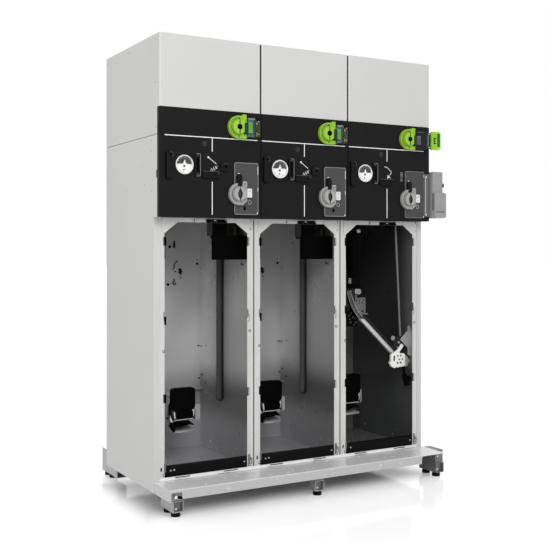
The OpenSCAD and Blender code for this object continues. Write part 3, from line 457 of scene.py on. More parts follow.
class Form:
    """One added piece. Shapes are drawn in millimetres on a plane that faces one way:
    u to the right, v up and w outwards from the plane."""

    def __init__(self, origin=(0, 0, 0), facing="front"):
        self.mesh = bmesh.new()
        self.turn(origin, facing)

    def turn(self, origin, facing="front"):
        self.u, self.v, self.w = (Vector(axis) for axis in FACINGS[facing])
        self.origin = Vector(origin)

    def vertex(self, u, v, w):
        return self.mesh.verts.new(self.origin + MM * (u * self.u + v * self.v + w * self.w))

    def loft(self, rings, capped=True):
        """Faces between closed rings of points, and over the first and the last ring."""
        for a, b in zip(rings, rings[1:]):
            count = len(a)
            for k in range(count):
                self.mesh.faces.new((a[k], a[(k + 1) % count], b[(k + 1) % count], b[k]))
        if capped:
            self.mesh.faces.new(rings[-1])
            self.mesh.faces.new(list(reversed(rings[0])))

    def prism(self, outline, low=SUNK, high=PROUD, edge=0.0):
        """A plate with an outline, whose outer edge may be broken by a small chamfer."""
        cu = sum(p[0] for p in outline) / len(outline)
        cv = sum(p[1] for p in outline) / len(outline)
        reach = max(hypot(u - cu, v - cv) for u, v in outline)
        shrink = 1 - edge / reach
        rings = [[self.vertex(u, v, low) for u, v in outline]]
        if edge:
            rings.append([self.vertex(u, v, high - edge) for u, v in outline])
        rings.append([self.vertex(cu + (u - cu) * shrink, cv + (v - cv) * shrink, high)
                      for u, v in outline])
        self.loft(rings)

    def disc(self, r, sides, u, v, *heights):
        """A round plate."""
        self.prism(circle(r, sides, u, v), *heights)

    def plate(self, w, h, r, u, v, *heights):
        """A plate with round corners, from its lowest corner at u, v."""
        self.prism(rounded(w, h, r, u, v), *heights)

    def lathe(self, profile, u=0, v=0, sides=20, capped=True):
        """A profile of (radius, w) pairs turned about the axis through u, v."""
        rings = [[self.vertex(*p, w) for p in circle(r, sides, u, v)] for r, w in profile]
        self.loft(rings if capped else rings + rings[:1], capped)

    def hoop(self, r, width, low=SUNK, high=PROUD, u=0, v=0, sides=32):
        """A flat ring."""
        inner, outer = r - width / 2, r + width / 2
        profile = [(inner, low), (outer, low), (outer, high), (inner, high)]
        self.lathe(profile, u, v, sides, capped=False)

    def stroke(self, points, width, low=SUNK, high=PROUD):
        """A line of even width along some points."""
        points = [Vector(point) for point in points]
        ways = [(b - a).normalized() for a, b in zip(points, points[1:])]
        rings = []
        for here, one, two in zip(points, ways[:1] + ways, ways + ways[-1:]):
            way = (one + two).normalized()
            across = Vector((-way.y, way.x)) * (width / 2 / max(0.4, way.dot(one)))
            a, b = here + across, here - across
            corners = ((a, low), (a, high), (b, high), (b, low))
            rings.append([self.vertex(*corner, w) for corner, w in corners])
        self.loft(rings)

    def screw(self, u, v, r, low=0.0):
        """A pan-head screw with a socket."""
        h = 0.6 * r
        self.lathe([(r, low), (r, low + 0.5 * h), (0.82 * r, low + 0.88 * h), (0.5 * r, low + h),
                    (0.42 * r, low + h), (0.4 * r, low + 0.45 * h)], u, v, 16)

    def flush_screw(self, u, v, r):
        """A countersunk screw, level with the sheet that it holds."""
        self.lathe([(0.6 * r, -1.2), (r, -0.3), (r, FLUSH), (0.42 * r, FLUSH), (0.4 * r, -0.6)],
                   u, v, 16)

    def bolt(self, u, v, r, low=0.0):
        """A washer, a hexagon head and the dome on it."""
        self.lathe([(1.45 * r, low), (1.45 * r, low + 0.16 * r), (1.38 * r, low + 0.22 * r)],
                   u, v, 24)
        self.disc(r, 6, u, v, low + 0.2 * r, low + 0.85 * r, 0.1 * r)
        dome = [(0.72 * r, low + 0.84 * r), (0.7 * r, low + 0.9 * r), (0.4 * r, low + 0.95 * r)]
        self.lathe(dome, u, v, 16)

    def finish(self, name, slot, look=None, body=CABINET, smooth=30):
        """Closes the piece: its object and the body it rides on, and a look that is the slot's
        unless another is given."""
        bmesh.ops.recalc_face_normals(self.mesh, faces=self.mesh.faces)
        mesh = bpy.data.meshes.new(name)
        self.mesh.to_mesh(mesh)
        self.mesh.free()
        mesh.shade_smooth()
        mesh.set_sharp_from_angle(angle=radians(smooth))
        mesh.materials.append(look or LOOKS[slot])
        piece = add_object(name, mesh)
        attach(piece, body)
        return piece


def forms(count):
    return [Form() for _ in range(count)]


def turn_all(made, origin, facing="front"):
    for form in made:
        form.turn(origin, facing)


def cubicles(*made, u=0, y=FRONT_Y, z=0, count=3):
    """Numbers of the cubicles, with each form turned to the front of each in turn."""
    for i in range(count):
        turn_all(made, (CENTRES[i] + u * MM, y, z))
        yield i


# ---- marks on the fascias, from a cubicle's centre line and the fascia's foot ----

FOOT_Z = FASCIA_LOW.z
MIMIC_X = -6          # upright line of the mimic
MIMIC_Z = 277.5       # level line of the mimic
LINE_W = 2.8
MIMIC_H = 0.4         # where the lines' faces lie
DIAL_U = (middle("line_rotor_1").x - CENTRES[0]) / MM
EARTH_V = (middle("earth_rotor_1").z - FOOT_Z) / MM
GAUGE_LOW, GAUGE_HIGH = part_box("pressure_gauges")
GAUGE_R = (GAUGE_HIGH.z - GAUGE_LOW.z) / 2 / MM
GAUGE_U = (GAUGE_LOW.x - CENTRES[0]) / MM + GAUGE_R
GAUGE_V = (GAUGE_LOW.z - FOOT_Z) / MM + GAUGE_R
FACE_R = GAUGE_R - 3.6
GAUGE_FACE = {"u": GAUGE_U, "y": GAUGE_LOW.y + 3 * MM, "z": FOOT_Z + GAUGE_V * MM}


def make_mimic():
    """White lines of the one-line diagram, with the switch and earthing symbols."""
    form = Form()
    frame_lines = [([(-184, MIMIC_Z), (173, MIMIC_Z)], LINE_W),
                   ([(MIMIC_X, 229), (MIMIC_X, MIMIC_Z - LINE_W / 2)], LINE_W),
                   ([(MIMIC_X, 10), (MIMIC_X, 124)], LINE_W)]
    switch = [([(-20, 208), (10, 187)], 1.9),
              ([(-12, 160), (-9, 171), (-4, 162), (-1, 174), (4, 165), (6, 178), (11, 170),
                (13, 182)], 1.2)]
    earthing = [([(-18, 208), (-11, 208), (1, 202), (14, 190), (15, 187), (6, 176)], 1.8)]
    for i in cubicles(form, z=FOOT_Z):
        for points, width in frame_lines:
            form.stroke(points, width, high=MIMIC_H)
        if i < 2:
            form.disc(3.6, 16, -20.5, 208.5, SUNK, MIMIC_H)
        for points, width in switch if i < 2 else earthing:
            form.stroke(points, width, high=MIMIC_H)
        if i == 2:
            form.prism([(-6, 162), (-1, 176), (9, 170)], high=MIMIC_H)
            form.stroke([(-6, 176), (13, 164)], 1.3, high=MIMIC_H)
    form.finish("mimic_lines", "post_white", MARK_WHITE)


def make_pictograms():
    """Small pictograms, and painted highlights along the edges of the slide plates and tray grips
    and on the rims of some fittings.
    """
    grey, pale = forms(2)
    for i in cubicles(grey, pale, z=FOOT_Z):
        for start in range(0, 360, 45):
            grey.stroke(circle(8, 4, -35, 255, start, start + 26), 1.1)
        for points in ([(-41, 260), (-35, 254), (-29, 260)], [(-35, 254), (-35, 248)]):
            grey.stroke(points, 1.1)
        # painted highlight along the slide plate's top, right and bottom edges
        edge = circle(5, 6, -58, 214, 90, 0) + circle(5, 6, -58, 147, 0, -90)
        pale.stroke([(-68, 219)] + edge + [(-68, 142)], 1.2, 4.8, 5.4)
        # painted highlights on the fittings' rims and on the top edge of the tray grip
        grey.stroke(circle(9, 10, -167, 211, -60, 95), 1.1, 12.9, 13.4)
        grey.stroke([(-44, 159.5), (18, 159.5)], 1.1, 8.9, 9.4)
        if i < 2:
            grey.stroke(circle(8, 10, 45, 182, 20, 150), 1, 5.9, 6.4)
            grey.disc(1.8, 10, 16, 154, 8.9, 9.5)
    turn_all((grey, pale), (CENTRES[2], FRONT_Y, FOOT_Z))
    for v in (171, 181):
        pale.stroke([(60, v), (69, v), (69, v + 8), (60, v + 8), (60, v)], 1.5)
    pale.hoop(4.6, 1.7, SUNK, 0.3, 64, 160)
    grey.finish("fascia_pictograms_and_highlights", "plate_grey", MARK_GREY)
    pale.finish("fascia_outlines_and_highlights", "plate_grey", MARK_PALE)


def make_fitting_rims():
    """Screws of the slide plates, and black liners that paint the shade in the fittings' grooves
    and holes.
    """
    rims, black = forms(2)
    for i in cubicles(rims, black, z=FOOT_Z):
        for v in (214, 147):
            rims.hoop(3, 1, 4.8, 5.4, -64, v)
        # painted shade: black in the slot, the holes and the grooves
        black.plate(8.4, 51, 1, -67.7, 154.5, 1.9, 2.3)
        black.disc(4.3, 16, -165, 212, 11.9, 12.4)
        if i < 2:
            black.disc(4.8, 16, 44, 178, 0.9, 1.4)
            black.plate(9.4, 13.4, 0.5, 115.3, 28.3, 0, 0.5)
    rims.finish("fitting_rims", "plate_grey", MARK_GREY)
    black.finish("fitting_shade_liners", "fitting_black", DEEP_BLACK)


def make_gauges():
    """Dial faces, white below and grey above, with a light pointer on a dark hub."""
    r = FACE_R
    white, grey, dark = forms(3)
    for i in cubicles(white, grey, dark, **GAUGE_FACE):
        white.prism(circle(r, 48), -0.3, 0.2)
        grey.prism(circle(r - 1.5, 24, 0, 2, 0, 180), 0.1, 0.5)
        for angle in range(8, 360, 12):
            c, s = heading(angle)
            mark = white if angle < 172 else dark
            inner = r - 6 if angle % 36 < 12 else r - 4
            mark.stroke([(c * inner, 1 + s * inner), (c * (r - 2), 1 + s * (r - 2))],
                        0.9, 0.3, 0.8)
        white.prism([(-4.5, 4), (1, 17), (5, 5), (2.5, -4), (-2, -4)], 0.5, 1.2)
        white.stroke([(-9, 3), (9, 5)], 1.2, 0.4, 0.9)
        dark.lathe([(3.6, 0.2), (3.6, 1.4), (2.6, 1.9)], -0.5, -5)
        dark.disc(2.6, 12, -1.5, -17, 0.1, 0.6)
    white.finish("gauge_faces", "post_white", MARK_WHITE)
    grey.finish("gauge_upper_halves", "plate_grey")
    dark.finish("gauge_hands", "fitting_black", DEEP_BLACK)


def make_gauge_glasses():
    """Slightly domed glasses inside the bezels."""
    form = Form()
    dome = [(FACE_R * c, 4.2 + 1.6 * s) for c, s in map(heading, range(0, 90, 10))]
    for i in cubicles(form, **GAUGE_FACE):
        form.lathe([(FACE_R - 0.5, 3.8)] + dome, sides=32)
    form.finish("gauge_glasses", "window_plastic", GLASS, smooth=60)


# ---- dials and their rotors ----


def make_green_dial_marks():
    """Dark grooves, tick dots and the T mark round the green dials' rotors, and the guides of the
    indicator slides, which stand in front of the rotors' edges. The grooves' dark is painted
    shade, and the dark arcs along the left of the rotors and dials are painted shadow."""
    form, guide = forms(2)
    for i in cubicles(form, guide, u=DIAL_U, y=FRONT_Y - 12 * MM, z=middle("line_rotor_1").z):
        form.stroke([(-6, 28.5), (6, 28.5)], 1.8, -1.6, 0.2)
        # painted shade: the grooves above and below the rotor are dark
        form.stroke([(0, 27), (0, 34)], 3, -1.6, 0.3)
        form.stroke([(0, -28), (0, -37)], 2.6, -1.6, 0.3)
        for start, end in ((108, 172), (188, 252)):
            for angle in range(start, end, 8):
                c, s = heading(angle)
                form.disc(0.9, 8, 32.5 * c, 32.5 * s, -1.6, -1.1)
        # painted shadow: dark arcs along the left of the rotor and of the dial
        form.stroke(circle(28.6, 24, 0, 0, 96, 262), 1.5, -1.6, -1.1)
        form.stroke(circle(35.2, 24, 0, 0, 100, 250), 0.8, -0.3, 0.15)
        guide.plate(12, 39, 1.5, 18, -24, 8, 10, 0.4)
        guide.plate(2.4, 39, 1, 29.8, -24, -7, 10)
    form.finish("green_dial_marks_and_shade", "olive_resin", DARK_GREEN)
    guide.finish("slide_guides", "fitting_black", DARK_GREEN)


def make_grey_dial_marks():
    """Grooves and screws of the grey dials, and a dark arc along the left of each rotor that is
    painted shadow.
    """
    form = Form()
    for i in cubicles(form, u=DIAL_U, y=PLATE_LOW.y - 12 * MM, z=middle("earth_rotor_1").z):
        # painted shadow: a dark arc along the left of the rotor
        form.stroke(circle(27.6, 20, 0, 0, 110, 250), 1.5, -1.6, -1.1)
        for angle in range(124, 250, 14):
            c, s = heading(angle)
            form.disc(1, 8, 31 * c, 31 * s, -1.6, -1.0)
        form.stroke(circle(27, 10, 0, 0, -62, 40), 1, SUNK, 0.15)
        form.stroke([(17, 30), (22, 22), (22, 14)], 1, SUNK, 0.2)
        form.hoop(3, 1, SUNK, 0.3, 22, 35)
        form.screw(22, -20, 2)
    form.finish("grey_dial_marks_and_shade", "dark_steel")


def make_rotor_shade_liners():
    """Black liners that paint the shade in the rotors' sockets and position grooves, which turn
    with them; the earth rotors' sockets also get a dark floor that paints shade.
    """
    for kind in ("line", "earth"):
        for i in range(3):
            node = f"{kind}_rotor_{i + 1}"
            low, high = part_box(node)
            centre = (low + high) / 2
            r = (high.z - low.z) / 2 / MM
            form = Form((centre.x, low.y, centre.z))
            # painted shade: black deep in the hex socket and along the position grooves
            if kind == "line":
                form.prism(circle(11.4, 6, 0, 0, 30, 390), -6.4, -1.2)
            for side in (1, -1):
                end = 12 if kind == "line" else 18.3
                form.stroke([(0, side * (r - 1)), (0, side * end)], 3.4, -1.6, -0.3)
            # painted shade: black on the walls of the lens-shaped socket, and a dark floor in it
            if kind == "earth":
                lens = (circle(22.4, 14, -14, 0, -51, 51) + circle(22.4, 14, 14, 0, 129, 231))
                form.stroke(lens + lens[:2], 1.6, -5.6, -0.6)
                shade_liner = Form((centre.x, low.y, centre.z))
                shade_liner.prism(lens, -6.2, -5.2)
                shade_liner.stroke([(0, 17), (0, -17)], 1.2, -5.4, -4.6)
                shade_liner.finish(f"{node}_socket", "plate_grey", MARK_FAINT, f"{node}_body")
            form.finish(f"{node}_liner", "moulding_black", DEEP_BLACK, f"{node}_body")


# ---- windows, indicators and the slide on the right ----

WINDOW_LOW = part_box("indicator_windows")[0]
SLIDE_LOW, SLIDE_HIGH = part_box("indicator_blocks")
CAP_LOW, CAP_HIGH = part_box("indicator_caps")
SHIELD_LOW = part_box("interlock_cover")[0]
WINDOW_U = (WINDOW_LOW.x - CENTRES[0]) / MM


def make_window_parts():
    """Slate backs behind the windows, ridges on the green blocks, marks on the caps."""
    backs, dark, light, lime = forms(4)
    for i in cubicles(backs, dark, light, lime, u=WINDOW_U, z=WINDOW_LOW.z, count=2):
        backs.plate(29, 64, 3, 3.5, 3.5, 0.1, 1.2)
        dark.stroke([(5, 15.5), (23, 15.5)], 2.4, 1, 8.6)
        light.stroke([(4, 66), (30, 67)], 1.2, 15.9, 16.4)
        lime.plate(5, 12, 1.5, 37.4, 47, 13.8, 14.4, 0.3)
        lime.plate(7, 13, 1.5, 37.4, 7, 13.8, 14.4, 0.3)
        dark.plate(13, 11, 2, 38, 57, 13.9, 14.5, 0.3)
        for v in (12, 58):
            dark.hoop(3.4, 1.4, 15.8, 16.5, 44.8, v)
            light.disc(1.5, 10, 45.6, v + 1, 15.9, 16.6)
        for v in (23, 34, 46):
            dark.stroke([(38, v), (52, v)], 0.9, 13.8, 14.3)
    backs.finish("window_backs", "window_plastic", SLATE)
    lime.finish("cap_ends", "dial_green", LIME_EDGE)
    return dark, light


def make_slide_marks(dark, light):
    """The slid-out block of the third cubicle, its guide and the edge of its cover."""
    place = (SLIDE_HIGH.x, SLIDE_LOW.y, SLIDE_LOW.z)
    dark.turn(place)
    dark.stroke([(-33, 21), (-33, 46)], 4, 0.2, 0.8)
    for v, u in ((24, -23), (33, -26), (43, -22)):
        dark.stroke([(-33, v), (u, v + 2)], 3.6, 0.2, 0.9)
    lime = Form(place)
    lime.plate(19, 65, 2, -41, 3, SUNK, 0.35, 0.2)
    lime.finish("slide_face", "dial_green")
    window = Form(place)
    window.plate(15, 53, 2, -18, 11, SUNK, 0.6, 0.3)
    window.finish("slide_window", "indicator_green", EMERALD)
    for v in (22, 34, 46):
        dark.stroke([(-15, v), (-7, v + 3)], 1.4, 0.5, 0.9)
    cap = (CAP_HIGH.x - 25.6 * MM, CAP_LOW.y, CAP_LOW.z)
    turn_all((dark, light), cap)
    light.disc(2, 10, 9, 56, SUNK, 0.5)
    light.disc(2, 10, 9, 5, SUNK, 0.5)
    dark.stroke([(13, 3), (13, 59)], 1.4, -1.6, 0.2)
    slate = Form(cap)
    slate.plate(6, 40, 1, 4, 10, -2.2, -1.4, 0.2)
    slate.finish("cap_window", "window_plastic", SLATE)
    shield = Form(SHIELD_LOW)
    shield.plate(19, 37, 2, 5, 19, SUNK, 0.3, 0.2)
    shield.finish("shield_plate", "fascia_black")


def make_shield_symbols():
    """Four rows of small squares on the pictogram plate."""
    form = Form(SHIELD_LOW)
    for row in range(4):
        for column in range(2):
            u, v = 6.5 + 9 * column, 21 + 8.6 * row
            form.stroke([(u, v), (u + 6.4, v), (u + 6.4, v + 5.4), (u, v + 5.4), (u, v)],
                        1.1, 0.2, 0.6)
    form.stroke([(9, 68), (34, 68)], 0.9)
    form.finish("shield_symbols", "post_white", MARK_PALE)


# ---- grey plates ----


def make_plate_lines():
    """Painted highlights along the edges of the grey plates, lever marks and padlock rings."""
    light, pale, grey = forms(3)
    w = (PLATE_HIGH.x - PLATE_LOW.x - 2 * PITCH) / MM
    h = (PLATE_HIGH.z - PLATE_LOW.z) / MM
    left = (PLATE_LOW.x - CENTRES[0]) / MM
    low = (PLATE_LOW.z - FOOT_Z) / MM
    for i in cubicles(light, pale, grey, y=PLATE_LOW.y, z=FOOT_Z):
        # painted highlight along the plate's edges
        edge = rounded(w - 2.4, h - 2.4, 6, left + 1.2, low + 1.2)
        pale.stroke(edge + edge[:2], 1.7 if i < 2 else 1.1)
        right = left + w - 2.4
        # painted highlights on the right edge and at its lower corner
        for v0, v1 in (((h - 42, h - 12), (h - 100, h - 88)) if i < 2 else ((h - 22, h - 12),)):
            light.stroke([(right, low + v0), (right, low + v1)], 1.6, 0.1, 0.5)
        light.disc(2.2, 10, right - 2, low + 6, 0.1, 0.6)
        light.plate(7, 2.4, 1, DIAL_U - 0.5, EARTH_V + 72, 0.1, 0.5)
        grey.prism([(DIAL_U + 33, EARTH_V - 22), (DIAL_U + 52, EARTH_V - 10),
                    (DIAL_U + 52, EARTH_V - 14), (DIAL_U + 36, EARTH_V - 26)], SUNK, 0.6)
        pale.hoop(6.5, 2.2, SUNK, 3, DIAL_U + 46, EARTH_V - 28, 8)
        pale.stroke([(DIAL_U + 36, EARTH_V + 36), (DIAL_U + 40, EARTH_V + 32)], 1.4, SUNK, 0.4)
        if i == 2:
            pale.hoop(5, 1.6, SUNK, 2, DIAL_U + 46, EARTH_V - 17, 8)
            for v, u0, u1 in ((40, 86, 158), (31, 86, 126), (20, 86, 124)):
                grey.stroke([(u0, v), (u1, v)], 1.1)
    light.finish("plate_highlights", "post_white", MARK_WHITE)
    pale.finish("plate_edge_highlights_and_rings", "plate_grey", MARK_PALE)
    grey.finish("plate_lines", "plate_grey", MARK_GREY)


def make_post_dots(dark):
    """Holes in the padlock posts, drawn as black dots that paint the shade in them."""
    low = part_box("padlock_posts")[0]
    for i in range(3):
        dark.turn((low.x + i * PITCH, low.y, low.z))
        for u, v in ((9, 8), (9, 20), (13, 25)):
            dark.disc(1.3, 8, u, v)


# ---- fasteners and marks of the frame, the base and the sides ----


def make_frame_bolts():
    """Bolts, hinge blocks and slots of the door frames, and the top rails' catches."""
    form, dark, slots, plates = forms(4)
    for i in cubicles(form, dark, slots, plates, y=FRAME_Y):
        for u, v in ((-164, 1006), (-164, 974), (171, 975), (171, 607), (-164, 551), (-163, 125),
                     (172, 122), (173, 1006)):
            form.screw(u, v, 2.8)
            dark.hoop(4.2, 1.8, SUNK, 0.25, u, v)
        # black hinge blocks in the stiles' notches, and the seal beside the upper one
        for v in (930, 656, 388):
            dark.plate(7.5, 29, 1.5, -162, v - 15, -1.5, 0.6, 0.4)
            dark.stroke([(163, v + 15), (168.5, v + 13), (168.5, v - 13), (163, v - 15)],
                        1.5, SUNK, 0.5)
        dark.stroke([(-159.6, 956), (-159.6, 868)], 3.4, -0.5, 0.3)
        # slots in the stiles, drawn as darker plates that paint the shade in them
        slots.plate(7, 30, 3, -163, 134)
        slots.plate(9, 44, 4, 164, 118)
        slots.plate(4, 24, 2, 177, 124)
        plates.plate(44, 11, 1.5, -49, 997.5, SUNK, 3.4, 0.5)
        dark.plate(44, 8, 2, 28, 988.5, 0, 2.5, 0.5)
        dark.plate(76, 10.5, 1.5, -2, 996.5, 8, 9.4, 0.4)
        for u, v in ((25, 1003.5), (30, 1003.5), (70, 1004)):
            form.disc(1.7, 10, u, v, 9.2, 9.9)
        turn_all((form, dark), (CENTRES[i], FRAME_Y + 2 * MM, 0))
        for u, v in ((-137, 137), (-124, 138), (150, 136))[::2 if i == 2 else 1]:
            form.screw(u, v, 3)
            dark.disc(1.2, 8, u, v, 1, 1.8)
    form.finish("frame_fasteners", "bright_steel", STEEL)
    dark.finish("hinge_blocks", "dark_steel", DEEP_BLACK)
    slots.finish("frame_slot_shades", "galvanised", DULL_STEEL)
    plates.finish("catch_plates", "galvanised")


def make_gap_shades():
    """Dark strips in the gaps between the cubicles' covers, fascias and door frames, which paint
    the shade in them.
    """
    dark, mid = forms(2)
    for k in range(4):
        x = ROW_X + (k - 1.5) * PITCH
        dark.turn((x, FRONT_Y, 0))
        mid.turn((x, FRAME_Y, 0))
        if 0 < k < 3:
            dark.plate(4, 620, 0.5, -2, FOOT_Z / MM, -8, -3)
            mid.plate(4, 900, 0.5, -2, FLOOR_Z / MM + 1, -6, -1.5)
    dark.turn((ROW_X, FRONT_Y, COVER_LOW.z))
    w = (FASCIA_HIGH.x - FASCIA_LOW.x) / MM
    dark.plate(w - 8, 2, 0.4, 4 - w / 2, -2, -8, -2)
    dark.finish("cover_gap_shade", "fitting_black")
    mid.finish("frame_gap_shade", "dark_steel")


SIDE_SCREWS = [(-23, 1614), (231, 1615), (452, 1613), (-23, 1470), (-23, 1317), (14, 1276),
               (12, 1238), (99, 1194), (413, 1199), (75, 1126), (424, 1120), (262, 1119),
               (14, 1104)]


def make_side_fasteners():
    """Screws on both side panels: (distance behind the door frame, height)."""
    form = Form()
    for facing, x in (("left", FASCIA_LOW.x), ("right", FASCIA_HIGH.x)):
        form.turn((x, FRAME_Y, 0), facing)
        turn = -1 if facing == "left" else 1
        for y, z in SIDE_SCREWS:
            if facing == "left" or y > 20:
                form.flush_screw(turn * y, z, 2.8)
    form.finish("side_fasteners", "galvanised", DULL_STEEL)


def make_latch():
    """Recessed catch at the front edge of the left side, level with the gauges."""
    form = Form((FASCIA_LOW.x, FRONT_Y, 0), "left")
    form.plate(20, 28, 5, -28, 1145, -1, FLUSH)
    form.hoop(6.5, 1.6, -1, 2 * FLUSH, -17, 1159)
    form.finish("side_catch", "fitting_black")


def make_back_fasteners():
    """Rows of screws along the back panels' edges and under the roof."""
    form = Form()
    for i in range(3):
        form.turn((CENTRES[i], BACK_HIGH.y, 0), "back")
        for u in (-178, 178):
            for v in range(150, 1620, 145):
                form.screw(u, v, 3)
        for v in (118, 1618):
            for u in (-89, 0, 89):
                form.screw(u, v, 3)
        form.turn((CENTRES[i], 0, COVER_HIGH.z), "up")
        for y in (COVER_HIGH.y / MM + 15, BACK_HIGH.y / MM - 15):
            for u in (-150, 0, 150):
                form.flush_screw(u, y, 3)
    form.finish("back_fasteners", "galvanised", DULL_STEEL)


def make_sill_marks():
    """Marks on the sill: a tread plate's seams, its fasteners and a painted highlight along its
    top's front edge, level with its faces.
    """
    form, dark = forms(2)
    top = (ROW_X, SILL_LOW.y, SILL_HIGH.z - 8 * MM)
    turn_all((form, dark), top, "up")
    w = (SILL_HIGH.x - SILL_LOW.x) / MM / 2
    dark.stroke([(4 - w, 126), (w - 4, 126)], 1.6, SUNK, 0.2)
    for u, length in ((-340, 50), (-136, 14), (60, 40), (250, 60), (470, 70)):
        dark.plate(length, 6, 2.5, u, 132, SUNK, 0.25)
    # painted highlight along the top's front edge
    form.stroke([(4 - w, 5), (w - 115, 5)], 3, SUNK, 0.25)
    for u in (-291, 100, 384):
        form.screw(u, 100, 2.4, -0.6)
    turn_all((form, dark), top)
    # corner bracket over the left foot
    dark.plate(38, 22, 2, 5 - w, -30, -1, FLUSH)
    black = Form(top)
    black.prism([(26 - w, -24), (33 - w, -30), (46 - w, -31), (43 - w, -22), (30 - w, -18)],
                -1, 2 * FLUSH)
    for k in range(3):
        black.stroke([(7 - w + 4 * k, -12), (11 - w + 4 * k, -18)], 1.2, -1, 2 * FLUSH)
    black.finish("sill_corner_gap", "dark_steel", DEEP_BLACK)
    form.prism([(15 - w, -27), (24 - w, -27), (26 - w, -19), (19 - w, -17)], -1, 2 * FLUSH)
    form.disc(2.5, 10, 275, -12, -0.3, FLUSH)
    form.finish("sill_fasteners_and_highlight", "bright_steel", MARK_WHITE)
    dark.finish("sill_seams", "galvanised", DULL_STEEL)


def make_foot_bolts():
    """Bolts of the feet, and dark plates that paint the shade inside their tubes."""
    form, dark = forms(2)
    low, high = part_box("feet")
    for x in (low.x + 19.5 * MM, (low.x + high.x) / 2, high.x - 19.5 * MM):
        turn_all((form, dark), (x, SILL_LOW.y + 60 * MM, 0))
        form.bolt(-7, 80, 4, -3)
        form.bolt(7, 90, 3.4, -3)
        turn_all((form, dark), (x, low.y + 12 * MM, 0))
        # painted shade inside the tube's end
        dark.plate(32, 32, 1, -16, 20.5, -0.5, 0.5)
        form.bolt(-4, 27, 3)
    for facing, x, turn in (("left", low.x, -1), ("right", high.x, 1)):
        form.turn((x, FRAME_Y, 0), facing)
        for y, z in ((-60, 44), (540, 44), (544, 92), (575, 92)):
            form.screw(turn * y, z, 2.2)
    form.finish("foot_fasteners", "bright_steel", STEEL)
    dark.finish("foot_tube_shade", "galvanised", LOOKS["tank_steel"])


# ---- inside the compartments ----

INNER_BACK_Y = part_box("compartment_backs")[0].y
WALL_X = [CENTRES[i] + PITCH / 2 - 1.5 * MM for i in range(3)]


def make_back_clips():
    """Dark clips, hooks and rivets on the back walls of the first two compartments."""
    form = Form()
    blobs = [(94, 818, 4), (101, 820, 3.4), (97, 811, 4.4), (104, 812, 3), (99, 804, 3.6),
             (93, 807, 2.6), (103, 805, 2.4), (98, 797, 2.2), (100, 787, 2.6), (95, 824, 2.2)]
    for i in cubicles(form, y=INNER_BACK_Y, count=2):
        form.prism([(68, 906), (74, 906), (74, 922), (72, 936), (69, 934), (67, 918)],
                   SUNK, 6, 0.8)
        form.disc(5, 12, 52, 911, SUNK, 4, 0.6)
        form.stroke([(85, 853), (79, 851), (74, 844), (71, 838), (71, 828), (67, 822)], 2.4, 0, 4)
        form.disc(3, 10, 83, 852, SUNK, 5)
        for u, v, r in blobs:
            form.lathe([(r, SUNK), (r, 3), (r * 0.7, 5)], u, v, 9)
        form.disc(3, 10, 76, 812, SUNK, 3, 0.5)
        form.stroke(circle(6, 8, 71, 766, 100, 380), 3, 0, 5)
        form.stroke([(71, 770), (70, 784)], 3.4, 0, 4)
        form.disc(5, 12, 45, 761, SUNK, 4, 0.6)
        for u, v, r in ((172, 843, 5), (180, 512, 2.6), (176, 511, 2.2), (180, 380, 3),
                        (170, 860, 2)):
            form.disc(r, 10, u, v, SUNK, 3, 0.5)
        form.turn((WALL_X[i], FRAME_Y, 0), "left")
        for y, z, r in ((440, 823, 3), (94, 847, 4), (80, 844, 3), (443, 510, 2.6),
                        (399, 517, 2.2), (438, 396, 3.6), (404, 367, 3), (348, 927, 3)):
            form.disc(r, 10, -y, z, SUNK, 2, 0.4)
    form.finish("back_clips", "dark_steel", DEEP_BLACK)


def make_inner_fasteners():
    """Screws inside the compartments: on the back walls, the right walls and the floors."""
    form = Form()
    for i in cubicles(form, y=INNER_BACK_Y):
        for u, v, r in ((165, 962, 3), (181, 994, 3), (160, 429, 2.6)):
            form.screw(u, v, r)
        form.turn((WALL_X[i], FRAME_Y, 0), "left")
        for y, z, r in ((136, 152, 3), (128, 156, 2.4), (162, 129, 4), (162, 118, 2),
                        (70, 163, 2.2), (361, 138, 4), (433, 138, 2.6), (467, 144, 2.2)):
            form.screw(-y, z, r)
        form.turn((CENTRES[i], FRAME_Y, FLOOR_Z), "up")
        form.bolt(-41, 237, 4)
        for u in (-60, -20, 20, 60):
            form.screw(u, 60, 2)
    form.finish("inner_fasteners", "bright_steel", STEEL)


def make_panel_bolts():
    """Bolts on the right walls, beside the black panels."""
    form = Form()
    for i in range(2):
        form.turn((WALL_X[i], FRAME_Y, 0), "left")
        form.screw(-39, 900, 3)
        form.screw(-42, 876, 4.6)
    form.finish("panel_fasteners", "bright_steel", STEEL)


